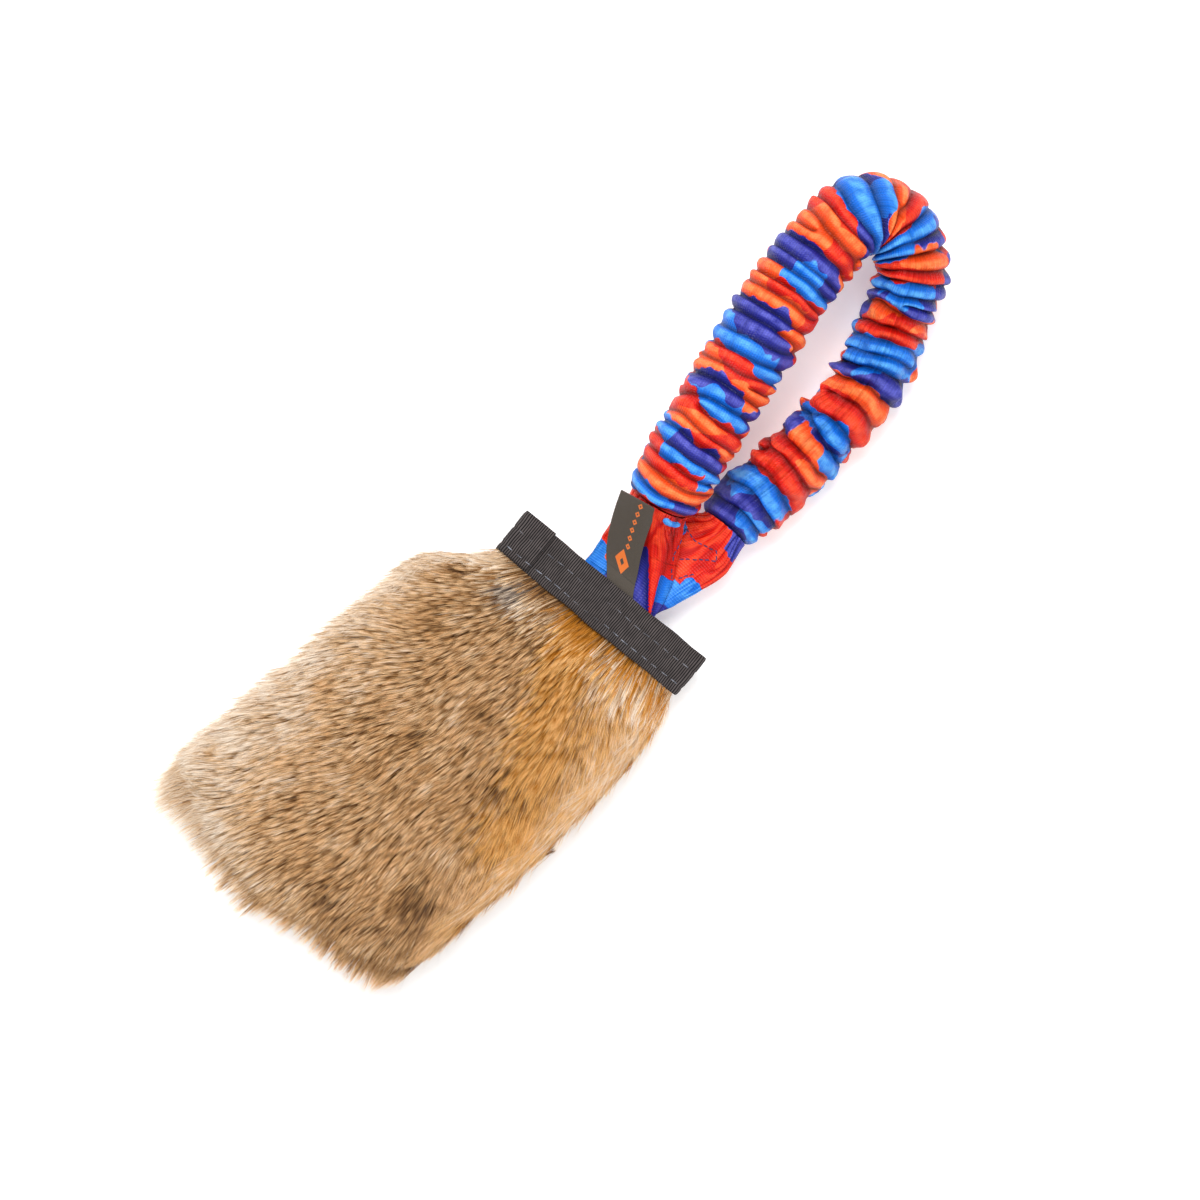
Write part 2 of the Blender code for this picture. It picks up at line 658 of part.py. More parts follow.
def make_leg(name, route, tail, sleeve, finishes, groups, carrier):
    """One leg of the loop: its tail with the pocket, its gathered sleeve and its bungee."""
    knit, bungee = finishes
    group, cutters = groups
    start, end = sleeve["from"], sleeve["to"]
    tail_piece = put(name + "_tail", tail.mesh(name + "_tail"), knit, group, carrier)
    pocket = put(name + "_pocket", tail.pocket_mesh(name + "_pocket"), knit, cutters, carrier)
    cut(tail_piece, pocket)
    mesh = sleeve_mesh(
        "sleeve_" + name, route, start, end, sleeve["pitch"], sleeve["depth"], sleeve["lean"],
    )
    put("sleeve_" + name + "_leg", mesh, knit, group, carrier)
    cord = round_rings(route, start, end, CORD_RADIUS)
    sewn_end = tail.cord_end_rings()
    rings = sewn_end + cord if tail.side > 0.0 else cord + sewn_end[::-1]
    put("cord_" + name + "_leg", skin("cord_" + name, rings), bungee, group, carrier)


def make_neck(group, cutters, carrier, route):
    """The two tails, the two gathered legs and the bungee inside them."""
    finishes = (
        material("camouflage_knit", (0.85, 0.13, 0.04), 0.5),
        material("bungee_cord", (0.06, 0.06, 0.07), 0.7),
    )
    front = {
        "from": 0.0, "to": FRONT_LEG_SHARE * route.length - CLEARANCE / 2,
        "pitch": FRONT_FOLD_PITCH, "depth": FRONT_FOLD_DEPTH, "lean": FRONT_FOLD_LEAN,
    }
    back = {
        "from": CROWN_END_SHARE * route.length + CLEARANCE / 2, "to": route.length,
        "pitch": BACK_FOLD_PITCH, "depth": BACK_FOLD_DEPTH, "lean": BACK_FOLD_LEAN,
    }
    groups = (group, cutters)
    make_leg("front", route, Tail(route, 1.0), front, finishes, groups, carrier)
    make_leg("back", route, Tail(route, -1.0), back, finishes, groups, carrier)


def make_crown(group, carrier, route):
    """The top of the loop, which a pull draws away from the strap."""
    knit = material("camouflage_knit_crown", (0.10, 0.18, 0.75), 0.5)
    bungee = material("bungee_cord_crown", (0.06, 0.06, 0.07), 0.7)
    start = FRONT_LEG_SHARE * route.length + CLEARANCE / 2
    end = CROWN_END_SHARE * route.length - CLEARANCE / 2
    mesh = sleeve_mesh(
        "sleeve_crown", route, start, end, CROWN_FOLD_PITCH, FRONT_FOLD_DEPTH, CROWN_FOLD_LEAN,
    )
    put("sleeve_crown", mesh, knit, group, carrier)
    put("cord_crown", cord_mesh("cord_crown", route, start, end), bungee, group, carrier)


def make_label(group, carrier):
    """The folded woven label: a thin strip that leans to the left and lifts off the strap."""
    finish = material("woven_label", (0.075, 0.068, 0.064), 0.65)
    rings = []
    half = LABEL_THICKNESS / 2
    for share in np.linspace(0.0, 1.0, 9):
        x = LABEL_ROOT_X - LABEL_LEAN * share
        y = LABEL_AXIS_Y + LABEL_LENGTH * share
        z = LABEL_AXIS_Z + LABEL_RISE * share**LABEL_CURL
        rings.append([
            (x - LABEL_WIDTH / 2, y, z - half),
            (x + LABEL_WIDTH / 2, y, z - half),
            (x + LABEL_WIDTH / 2, y, z + half),
            (x - LABEL_WIDTH / 2, y, z + half),
        ])
    put("label", skin("label", rings), finish, group, carrier)


def main():
    """Build the toy."""
    clear_scene()
    group = collection("bungee_tug_toy")
    cutters = collection("cutters")
    pad_fold = joint_empty("pad_fold", group, (0.0, PAD_AXIS_Y, MID_HEIGHT))
    neck_fold = joint_empty("neck_fold", group, (0.0, NECK_AXIS_Y, MID_HEIGHT))
    stretch_at = (LOOP_CENTRE_X, NECK_AXIS_Y + NECK_LENGTH + LOOP_LENGTH, MID_HEIGHT)
    bungee_stretch = joint_empty("bungee_stretch", group, stretch_at, neck_fold)
    label_at = (LABEL_ROOT_X, LABEL_AXIS_Y, LABEL_AXIS_Z)
    label_flap = joint_empty("label_flap", group, label_at, neck_fold)
    make_webbing_band(group)
    make_hide_edges(group)
    make_tail_ends(group)
    make_label_root(group)
    make_pelts(group, pad_fold)
    route = loop_route()
    make_neck(group, cutters, neck_fold, route)
    make_crown(group, bungee_stretch, route)
    make_label(group, label_flap)


main()
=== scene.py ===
"""Bungee tug toy: two rabbit pelts, a ribbed webbing band and a gathered bungee loop.

Metres, +Z up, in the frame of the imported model: the toy lies on the floor z = 0, +Y runs from
the fur pad to the loop and +X to the right. Every surface is worked out with numpy on a grid.
"""

from __future__ import annotations

import logging
import math
from dataclasses import dataclass, field
from enum import Enum
from typing import Any, ClassVar

import bpy
import numpy as np
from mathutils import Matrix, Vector
from mathutils.bvhtree import BVHTree


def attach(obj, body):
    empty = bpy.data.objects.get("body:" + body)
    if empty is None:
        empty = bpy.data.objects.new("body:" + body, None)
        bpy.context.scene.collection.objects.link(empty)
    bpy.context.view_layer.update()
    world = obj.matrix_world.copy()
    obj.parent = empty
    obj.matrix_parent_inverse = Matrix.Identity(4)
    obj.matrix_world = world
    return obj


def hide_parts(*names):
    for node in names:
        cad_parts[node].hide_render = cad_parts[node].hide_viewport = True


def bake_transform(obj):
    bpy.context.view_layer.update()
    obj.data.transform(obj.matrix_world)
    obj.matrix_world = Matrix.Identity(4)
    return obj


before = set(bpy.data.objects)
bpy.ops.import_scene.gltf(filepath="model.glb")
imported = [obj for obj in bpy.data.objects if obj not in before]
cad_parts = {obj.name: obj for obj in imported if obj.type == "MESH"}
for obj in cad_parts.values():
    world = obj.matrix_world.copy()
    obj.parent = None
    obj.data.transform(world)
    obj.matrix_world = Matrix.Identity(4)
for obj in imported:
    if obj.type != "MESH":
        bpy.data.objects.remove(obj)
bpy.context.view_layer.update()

LOG = logging.getLogger("tug_toy")
MM = 0.001
TAU = 2.0 * math.pi
Array = np.ndarray
Rows = tuple[tuple[float, ...], ...]

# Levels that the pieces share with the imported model
MID_HEIGHT = 17.5 * MM
BAND_LOWER_Y = 90 * MM
BAND_UPPER_Y = 110 * MM
PAD_AXIS_Y = 87.15 * MM
NECK_AXIS_Y = 112.05 * MM
UP = np.array((0.0, 0.0, 1.0))


class Body(str, Enum):
    """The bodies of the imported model."""

    BAND = "band"
    PAD = "pad"
    NECK = "neck"
    CROWN = "crown"
    LABEL = "label"


class Slot(str, Enum):
    """The record's material slots."""

    WEBBING = "webbing"
    HIDE = "hide"
    FUR = "fur"
    KNIT = "knit"
    BUNGEE = "bungee"
    LABEL = "label"


@dataclass(frozen=True)
class Fold:
    """A fold or stretch between two bodies: where along Y the first ends and the next starts."""

    first: Body
    second: Body
    from_y: float
    to_y: float


HIDE_FOLD = Fold(Body.BAND, Body.PAD, BAND_LOWER_Y + 1 * MM, PAD_AXIS_Y - 4 * MM)
COAT_FOLD = Fold(Body.BAND, Body.PAD, BAND_LOWER_Y + 1 * MM, PAD_AXIS_Y - 7 * MM)
STRAP_FOLD = Fold(Body.BAND, Body.NECK, BAND_UPPER_Y, NECK_AXIS_Y + 2.5 * MM)
LEG_STRETCH = Fold(Body.NECK, Body.CROWN, 152 * MM, 256 * MM)


def fit(piece: bpy.types.Object, holder: Body | Fold) -> bpy.types.Object:
    """Let a piece ride on a body, or bake its place into its mesh where it lies at a fold between
    two.

    Args:
        piece: the piece.
        holder: the body it rides on, or the fold it lies at.

    Returns:
        The piece.
    """
    if isinstance(holder, Fold):
        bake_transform(piece)
    else:
        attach(piece, holder.value)
    return piece


# Arrays

def smooth_step(share: Array | float) -> Array:
    """Ease from 0 to 1 with level ends: 3 t^2 - 2 t^3, t held between 0 and 1."""
    share = np.clip(share, 0.0, 1.0)
    return share * share * (3.0 - 2.0 * share)


def ease(value: Array | float, start: float, width: float) -> Array:
    """Ease from 0 at a start to 1 a width further on, or further down if it is negative."""
    return smooth_step((value - start) / width)


def hump(value: Array, middle: float | Array, width: float) -> Array:
    """Return a bell curve: exp(-(v - m)^2 / w^2)."""
    return np.exp(-(((value - middle) / width) ** 2))


def bell(x: Array, y: Array, spot: tuple[float, ...]) -> Array:
    """Return a bell over the plane, from its middle in x and y and its sizes, in millimetres."""
    cx, cy, wide, high = (value * MM for value in spot)
    return np.exp(-(((x - cx) / wide) ** 2 + ((y - cy) / high) ** 2))


def unit(vectors: Array) -> Array:
    """Return vectors scaled to length 1 along their last axis."""
    return vectors / np.maximum(np.linalg.norm(vectors, axis=-1, keepdims=True), 1e-12)


def square_to(along: Array, up: Array = UP) -> tuple[Array, Array]:
    """Return the level direction beside a line's way, and the one square to both."""
    side = unit(np.cross(along, up))
    return side, np.cross(side, along)


def table(pairs: Rows, place: Array) -> Array:
    """Read pairs of a place and a value straight between their entries."""
    rows = np.asarray(pairs)
    return np.interp(place, rows[:, 0], rows[:, 1])


def round_ends(share: Array, power: int) -> Array:
    """Return the width of a roll from -1 to 1: (1 - |s|^p)^(1/2), hardly above 0 at its ends."""
    return np.sqrt(np.maximum(1.0 - np.abs(share) ** power, 0.0)) * 0.98 + 0.02


def signed_power(value: Array, power: Array) -> Array:
    """Return |v|^p with the value's own sign."""
    return np.sign(value) * np.abs(value) ** power


@dataclass(frozen=True)
class Ripple:
    """Smooth noise: a mean of cosines in seeded random directions, about -1 to 1."""

    seed: int
    size: float
    waves: int = 20

    def at(self, points: Array) -> Array:
        """Sample the noise.

        Args:
            points: places, their last axis being the coordinates.

        Returns:
            One value per place.
        """
        chance = np.random.default_rng(self.seed)
        count = points.shape[-1]
        ways = unit(chance.normal(size=(self.waves, count)))
        turns = ways * (TAU / self.size) * chance.uniform(0.6, 1.5, (self.waves, 1))
        phases = chance.uniform(0.0, TAU, self.waves)
        waves = np.cos(points @ turns.T + phases)
        return waves.sum(axis=-1) * math.sqrt(2.0 / self.waves) * 0.6

    def over(self, *axes: Array) -> Array:
        """Sample the noise at places whose coordinates are given one array each."""
        return self.at(np.stack(axes, -1))


def run_length(points: Array) -> Array:
    """Return the length run along lines of points, 0 at their start; the first axis runs."""
    steps = np.linalg.norm(np.diff(points, axis=0), axis=-1)
    return np.concatenate((np.zeros((1, *steps.shape[1:])), np.cumsum(steps, axis=0)))


def on_line(points: Array, run: Array, places: Array) -> Array:
    """Return the points at some places along a line whose points lie at the lengths run."""
    return np.column_stack([np.interp(places, run, column) for column in points.T])


def around_line(angle: Array, side: Array, up: Array) -> Array:
    """Return the ways that point off a line at angles round it: cos(a) side + sin(a) up."""
    cosine, sine = np.cos(angle)[..., None], np.sin(angle)[..., None]
    return cosine * side[..., None, :] + sine * up[..., None, :]


def closed_angles(columns: int) -> Array:
    """Return the angles of a ring of points."""
    return np.arange(columns) / columns * TAU


def knit_map(used: Array, around: float) -> Array:
    """Return a closed grid's own cloth in millimetres, round it and along it.

    Args:
        used: the cloth's length up to each place of the grid, in metres.
        around: the cloth once round the piece, in millimetres.

    Returns:
        Two values for each place, and for the place after a full turn.
    """
    opened = np.concatenate((used, used[:, :1]), axis=1) / MM
    turn = np.broadcast_to(np.linspace(0.0, around, opened.shape[1]), opened.shape)
    return np.stack((turn, opened), -1)


def on_cylinder(theta: Array, along: Array, radius: float) -> Array:
    """Return points on a cylinder, so that noise read there closes round it."""
    return np.stack((radius * np.cos(theta), radius * np.sin(theta), along), axis=-1)


# Meshes

@dataclass
class Faces:
    """Corners of a mesh: vertex of each corner, and where each face starts."""

    corners: Array
    starts: Array

    @classmethod
    def quads(cls, quads: Array) -> Faces:
        """Make faces of four corners each."""
        return cls(quads.ravel(), np.arange(len(quads)) * 4)


def grid_quads(rows: int, columns: int, closed: bool) -> tuple[Array, Array]:
    """Return the quads of a grid, and the same quads as if its last column weren't joined.

    Args:
        rows: number of rows of points.
        columns: number of points in a row.
        closed: whether each row closes on itself.

    Returns:
        Vertex numbers, and numbers into a grid with one more column where it is closed.
    """
    wide = columns if closed else columns - 1
    row, column = np.meshgrid(np.arange(rows - 1), np.arange(wide), indexing="ij")
    steps = ((0, 0), (0, 1), (1, 1), (1, 0))
    quads = [(row + a) * columns + (column + b) % columns for a, b in steps]
    open_columns = columns + 1 if closed else columns
    opened = [(row + a) * open_columns + column + b for a, b in steps]
    shape = (-1, 4)
    return np.stack(quads, -1).reshape(shape), np.stack(opened, -1).reshape(shape)


def build_mesh(name: str, points: Array, faces: Faces) -> bpy.types.Mesh:
    """Put arrays of points and faces into a smooth shaded mesh.

    Args:
        name: name of the mesh.
        points: its places, n x 3.
        faces: corners and starts of its faces.

    Returns:
        The mesh.
    """
    mesh = bpy.data.meshes.new(name)
    mesh.vertices.add(len(points))
    mesh.vertices.foreach_set("co", points.astype(np.float32).ravel())
    mesh.loops.add(len(faces.corners))
    mesh.loops.foreach_set("vertex_index", faces.corners.astype(np.int32))
    mesh.polygons.add(len(faces.starts))
    mesh.polygons.foreach_set("loop_start", faces.starts.astype(np.int32))
    mesh.update(calc_edges=True)
    mesh.polygons.foreach_set("use_smooth", np.ones(len(faces.starts), dtype=bool))
    return mesh


def set_map(mesh: bpy.types.Mesh, name: str, corner_values: Array) -> None:
    """Write a UV map from a pair of values per corner."""
    layer = mesh.uv_layers.new(name=name)
    layer.data.foreach_set("uv", corner_values.astype(np.float32).ravel())


def link(mesh: bpy.types.Mesh, finish: bpy.types.Material) -> bpy.types.Object:
    """Make the object that shows a mesh.

    Args:
        mesh: the mesh.
        finish: its material.

    Returns:
        The piece.
    """
    mesh.materials.append(finish)
    piece = bpy.data.objects.new(mesh.name, mesh)
    bpy.context.scene.collection.objects.link(piece)
    LOG.info("%s: %d faces", mesh.name, len(mesh.polygons))
    return piece


@dataclass
class Grid:
    """A surface on a grid of points, with values on it that a finish reads."""

    name: str
    points: Array
    closed: bool = False
    maps: dict[str, Array] = field(default_factory=dict)
    flip: bool = False

    def make(self, finish: bpy.types.Material) -> bpy.types.Object:
        """Make the piece.

        A closed row's maps may hold one more column than its points, for the value after a
        full turn. The map "OFBake" is the grid itself, laid flat.

        Args:
            finish: its material.

        Returns:
            The piece.
        """
        rows, columns = self.points.shape[:2]
        quads, opened = grid_quads(rows, columns, self.closed)
        if self.flip:
            quads, opened = quads[:, ::-1], opened[:, ::-1]
        mesh = build_mesh(self.name, self.points.reshape(-1, 3), Faces.quads(quads))
        wide = columns + 1 if self.closed else columns
        down, over = np.meshgrid(
            np.linspace(0.0, 1.0, rows), np.linspace(0.0, 1.0, wide), indexing="ij"
        )
        maps = {**self.maps, "OFBake": np.stack((over, down), axis=-1)}
        for name, values in maps.items():
            if values.shape[1] == columns and self.closed:
                values = np.concatenate((values, values[:, :1]), axis=1)
            set_map(mesh, name, values.reshape(-1, 2)[opened.ravel()])
        return link(mesh, finish)


def capped_tubes(name: str, lines: Array, radius: float, finish: bpy.types.Material,
                 sides: int = 7) -> bpy.types.Object:
    """Make many short tubes of one radius with round closed ends, such as stitches.

    Each line of points gets rings square to it: point + radius (cos a side + sin a up). The
    first and last rings shrink to near a point, which closes the tube.

    Args:
        name: the piece's name.
        lines: tubes x points x 3.
        radius: radius in the middle.
        finish: material.
        sides: corners of a ring.

    Returns:
        The piece.
    """
    tubes, points = lines.shape[:2]
    side, up = square_to(unit(np.gradient(lines, axis=1)))
    swell = round_ends(np.linspace(-1.0, 1.0, points), 4)
    ring = radius * swell[None, :, None, None] * around_line(closed_angles(sides), side, up)
    rings = (lines[:, :, None] + ring).reshape(-1, 3)
    quads, _ = grid_quads(points, sides, True)
    first = np.arange(tubes)[:, None, None] * points * sides
    walls = (quads[None] + first).reshape(-1, 4)
    lid = np.arange(sides)
    near_lid = (lid[None, ::-1] + first[:, 0]).reshape(tubes, sides)
    far_lid = (lid[None] + (points - 1) * sides + first[:, 0]).reshape(tubes, sides)
    corners = np.concatenate((walls.ravel(), near_lid.ravel(), far_lid.ravel()))
    starts = np.concatenate((
        np.arange(len(walls)) * 4,
        len(walls) * 4 + np.arange(2 * tubes) * sides,
    ))
    mesh = build_mesh(name, rings, Faces(corners, starts))
    return link(mesh, finish)


# Finishes

Colour = tuple[float, float, float]


def srgb(red: int, green: int, blue: int) -> Colour:
    """Return linear light for a colour that is named as a screen shows it."""
    shares = np.array((red, green, blue)) / 255.0
    light = np.where(shares <= 0.04045, shares / 12.92, ((shares + 0.055) / 1.055) ** 2.4)
    return tuple(float(value) for value in light)


class Bench:
    """Builds one material: each method adds a node and returns what it gives."""

    def __init__(self, name: str) -> None:
        self.material = bpy.data.materials.new(name)
        self.material.use_nodes = True
        self.tree = self.material.node_tree
        self.shader = self.tree.nodes["Principled BSDF"]

    def node(self, kind: str, inputs: dict[int | str, Any], **settings: Any) -> bpy.types.Node:
        """Add a node.

        Args:
            kind: the node's type without its ShaderNode prefix.
            inputs: values or outputs for its sockets.
            settings: its properties.

        Returns:
            The node.
        """
        made = self.tree.nodes.new("ShaderNode" + kind)
        for key, value in settings.items():
            setattr(made, key, value)
        for key, value in inputs.items():
            self.feed(made.inputs[key], value)
        return made

    def feed(self, socket: bpy.types.NodeSocket, value: Any) -> None:
        """Link an output to a socket, or set its value.

        Args:
            socket: the socket.
            value: an output or a plain value.
        """
        if isinstance(value, bpy.types.NodeSocket):
            self.tree.links.new(value, socket)
        else:
            socket.default_value = value

    def math(self, operation: str, first: Any, second: Any = 0.0, third: Any = 0.0) -> Any:
        """Add a Math node."""
        inputs = {0: first, 1: second, 2: third}
        return self.node("Math", inputs, operation=operation).outputs[0]

    def times(self, first: Any, second: Any) -> Any:
        """Multiply two values."""
        return self.math("MULTIPLY", first, second)

    def wave(self, value: Any, period: float) -> Any:
        """Return a sine that closes after a period."""
        return self.math("SINE", self.times(value, TAU / period))

    def away(self, value: Any, middle: Any) -> Any:
        """Return how far a value is from a middle."""
        return self.math("ABSOLUTE", self.math("SUBTRACT", value, middle))

    def inside(self, value: Any, inner: float, outer: float) -> Any:
        """Return 1 where a value lies between two bounds, and 0 elsewhere."""
        below = self.math("LESS_THAN", value, outer)
        return self.times(below, self.math("GREATER_THAN", value, inner))

    def mix(self, share: Any, first: Any, second: Any) -> Any:
        """Mix two colours by a share.

        Args:
            share: 0 for the first, 1 for the second.
            first, second: the colours.

        Returns:
            The mixed colour.
        """
        colours = {
            key: value if isinstance(value, bpy.types.NodeSocket) else (*value, 1.0)
            for key, value in ((6, first), (7, second))
        }
        return self.node("Mix", {0: share, **colours}, data_type="RGBA").outputs[2]

    def uv(self, name: str) -> tuple[Any, Any, Any]:
        """Read a UV map; return the vector and its two values."""
        vector = self.node("UVMap", {}, uv_map=name).outputs[0]
        split = self.node("SeparateXYZ", {0: vector})
        return vector, split.outputs[0], split.outputs[1]

    def place(self) -> Any:
        """Read the piece's own coordinates."""
        return self.node("TexCoord", {}).outputs["Object"]

    def noise(self, vector: Any, scale: float, detail: float = 3.0) -> Any:
        """Add a noise texture; return its factor."""
        inputs = {"Vector": vector, "Scale": scale, "Detail": detail}
        return self.node("TexNoise", inputs).outputs["Fac"]

    def ramp(self, share: Any, stops: list[tuple[float, Colour]]) -> Any:
        """Add a colour ramp with the stops given.

        Args:
            share: where to read it.
            stops: places from 0 to 1 with their colours.

        Returns:
            The colour.
        """
        made = self.node("ValToRGB", {0: share})
        elements = made.color_ramp.elements
        while len(elements) < len(stops):
            elements.new(0.5)
        for element, (position, _) in zip(elements, stops):
            element.position = position
        for element, (position, colour) in zip(elements, stops):
            element.position = position
            element.color = (*colour, 1.0)
        return made.outputs[0]

    def between(self, value: Any, low: float, high: float) -> Any:
        """Map a value smoothly to 0 at one end and 1 at the other."""
        inputs = {0: value, 1: low, 2: high}
        return self.node("MapRange", inputs, interpolation_type="SMOOTHSTEP").outputs[0]

    def dent(self, height: Any, distance: float, strength: float = 1.0) -> None:
        """Drive the shader's normal by a height, in metres at height 1."""
        inputs = {"Height": height, "Distance": distance, "Strength": strength}
        self.dress("Normal", self.node("Bump", inputs).outputs[0])

    def dress(self, socket: str, value: Any) -> None:
        """Link or set one of the shader's sockets."""
        self.feed(self.shader.inputs[socket], value)

    def colour(self, share: Any, first: Any, second: Any) -> None:
        """Give the shader a colour mixed from two by a share."""
        self.dress("Base Color", self.mix(share, first, second))


@dataclass(frozen=True)
class Finish:
    """A material that is built at its first use and then shared by its pieces."""

    name: str
    roughness: ClassVar[float] = 0.5
    specular: ClassVar[float] = 0.5
    sheen: ClassVar[tuple[float, float] | None] = None

    def make(self) -> bpy.types.Material:
        """Return the material.

        Returns:
            The one material of this name.
        """
        kept = bpy.data.materials.get(self.name)
        if kept:
            return kept
        bench = Bench(self.name)
        bench.dress("Roughness", self.roughness)
        bench.dress("Specular IOR Level", self.specular)
        if self.sheen:
            bench.dress("Sheen Weight", self.sheen[0])
            bench.dress("Sheen Roughness", self.sheen[1])
        self.paint(bench)
        return bench.material

    def paint(self, bench: Bench) -> None:
        """Give the material its colour and relief.

        Args:
            bench: where the material is built.
        """


@dataclass(frozen=True)
class CamouflageKnit(Finish):
    """Satiny stretch knit printed with blotches in two warm and two cool colours.

    The map "Camouflage" holds two smooth values: above zero the first is warm, the second is
    the lighter of the two. The map "Knit" holds the cloth's own millimetres, and "Fold" how
    open the cloth lies: 0 in a valley between folds, 1 on a crest. Lighter tints on the
    crests are a painted highlight, and the colour is painted darker toward the valleys as shade.
    """

    name: str = "camouflage_knit"
    orange: Colour = srgb(244, 74, 16)
    red: Colour = srgb(214, 20, 8)
    light_blue: Colour = srgb(10, 108, 218)
    navy: Colour = srgb(34, 38, 138)
    # painted highlight: lighter tints of the four dyes, for the fold crests
    highlight_orange: Colour = srgb(255, 156, 88)
    highlight_red: Colour = srgb(250, 84, 44)
    highlight_blue: Colour = srgb(104, 190, 252)
    highlight_navy: Colour = srgb(102, 106, 208)
    wale: float = 1.1
    course: float = 1.15
    highlight_strength: float = 0.72
    border: float = 0.03
    roughness = 0.42
    specular = 0.22

    def paint(self, bench: Bench) -> None:
        """Give the material its colour and relief.

        Args:
            bench: where the material is built.
        """
        _, warm, light = bench.uv("Camouflage")
        _, across, along = bench.uv("Knit")
        _, crest, _ = bench.uv("Fold")
        is_warm = bench.between(warm, -self.border, self.border)
        is_light = bench.between(light, -self.border, self.border)
        hot = bench.mix(is_light, self.red, self.orange)
        cold = bench.mix(is_light, self.navy, self.light_blue)
        colour = bench.mix(is_warm, cold, hot)
        # painted highlight: the lighter crest tints, held in worn, are mixed in on the crests and
        # broken up by noise
        hot = bench.mix(is_light, self.highlight_red, self.highlight_orange)
        cold = bench.mix(is_light, self.highlight_navy, self.highlight_blue)
        worn = bench.mix(is_warm, cold, hot)
        fuzz = bench.noise(bench.place(), 260.0, 2.0)
        lit = bench.times(bench.between(crest, 0.76, 1.0), bench.between(fuzz, 0.1, 0.8))
        colour = bench.mix(bench.times(lit, self.highlight_strength), colour, worn)
        stitch = bench.math("ADD", bench.wave(across, self.wale), bench.wave(along, self.course))
        knit = bench.math("MULTIPLY_ADD", stitch, 0.25, 0.5)
        # stitch ridges lighter and gaps darker: knit texture and painted shade, with random tone
        # from the noise
        bright = bench.math("MULTIPLY_ADD", knit, 0.36, 0.78)
        bright = bench.math("MULTIPLY_ADD", bench.math("SUBTRACT", fuzz, 0.5), 0.16, bright)
        # painted shade: the colour darkens from the crests down into the fold valleys
        painted_fold_light = bench.math("MULTIPLY_ADD", bench.between(crest, 0.1, 0.96), 0.7, 0.32)
        bright = bench.times(bright, painted_fold_light)
        shaded = bench.node("HueSaturation", {"Value": bright, "Color": colour}).outputs[0]
        bench.dress("Base Color", shaded)
        bench.dent(knit, 0.00024, 0.9)


@dataclass(frozen=True)
class FurFinish(Finish):
    """Rabbit hair with bands along it.

    The map "FurUV" gives the kind and shade of a hair across and the place along it upwards.
    Each kind has a darker and a lighter end; its root, band and tip have their own colours.
    """

    name: str = "rabbit_fur"
    band_start: tuple[float, float] = (0.2, 0.5)
    band_end: tuple[float, float] = (0.62, 0.86)
    roughness = 0.45
    specular = 0.32
    sheen = (0.04, 0.5)

    def stops(self, part: int) -> list[tuple[float, Colour]]:
        """Return the colour stops of one part of the hair over all kinds.

        Args:
            part: 0 root, 1 band, 2 tip.

        Returns:
            Two stops for each kind.
        """
        stops = []
        for number, kind in enumerate(FurKind):
            for place, colour in zip((0.02, 0.98), kind.value[part]):
                stops.append(((number + place) / len(FurKind), srgb(*colour)))
        return stops

    def paint(self, bench: Bench) -> None:
        """Give the material its colour and relief.

        Args:
            bench: where the material is built.
        """
        _, kind, along = bench.uv("FurUV")
        root, band, tip = (bench.ramp(kind, self.stops(part)) for part in range(3))
        colour = bench.mix(bench.between(along, *self.band_start), root, band)
        colour = bench.mix(bench.between(along, *self.band_end), colour, tip)
        rich = bench.node("HueSaturation", {"Saturation": 1.09, "Value": 0.98, "Color": colour})
        bench.dress("Base Color", rich.outputs[0])


class FurKind(Enum):
    """Kinds of hair: (darker, lighter) colours of its root, band and tip."""

    DARK = (((36, 25, 18), (50, 35, 26)), ((44, 30, 20), (72, 50, 33)),
            ((84, 59, 39), (164, 121, 82)))
    BROWN = (((50, 34, 23), (72, 50, 33)), ((88, 60, 37), (126, 88, 55)),
             ((202, 152, 103), (238, 193, 143)))
    TAN = (((68, 48, 32), (98, 71, 48)), ((130, 93, 59), (176, 130, 86)),
           ((238, 197, 149), (252, 225, 187)))
    CREAM = (((138, 109, 82), (178, 147, 116)), ((200, 169, 134), (228, 200, 168)),
             ((248, 229, 204), (255, 246, 233)))
    GOLD = (((84, 53, 27), (116, 75, 39)), ((170, 108, 50), (200, 136, 70)),
            ((234, 176, 106), (250, 208, 148)))
    GREY = (((60, 52, 48), (84, 75, 70)), ((104, 91, 82), (134, 119, 108)),
            ((178, 158, 138), (216, 197, 176)))


@dataclass(frozen=True)
class Undercoat(Finish):
    """The dense dark wool under the guard hairs."""

    name: str = "undercoat"
    dark: Colour = srgb(62, 43, 29)
    light: Colour = srgb(124, 90, 60)
    roughness = 0.95
    specular = 0.15
    sheen = (0.2, 0.6)

    def paint(self, bench: Bench) -> None:
        """Give the material its colour and relief.

        Args:
            bench: where the material is built.
        """
        place = bench.place()
        patch = bench.noise(place, 60.0)
        stretched = bench.node("Mapping", {0: place, 3: (900.0, 160.0, 900.0)}).outputs[0]
        wool = bench.noise(stretched, 1.0, 4.0)
        share = bench.math("MULTIPLY_ADD", patch, 0.6, bench.times(wool, 0.5))
        bench.colour(bench.between(share, 0.3, 0.8), self.dark, self.light)
        bench.dent(wool, 0.0008)


@dataclass(frozen=True)
class TannedHide(Finish):
    """The skin side of the pelts: dry, pale, lightly creased leather."""

    name: str = "tanned_hide"
    pale: Colour = srgb(150, 122, 90)
    dark: Colour = srgb(104, 80, 56)
    roughness = 0.78

    def paint(self, bench: Bench) -> None:
        """Give the material its colour and relief.

        Args:
            bench: where the material is built.
        """
        place = bench.place()
        mottle = bench.noise(place, 90.0, 5.0)
        grain = bench.noise(place, 900.0, 3.0)
        bench.colour(bench.between(mottle, 0.3, 0.7), self.dark, self.pale)
        bench.dent(grain, 0.0003)


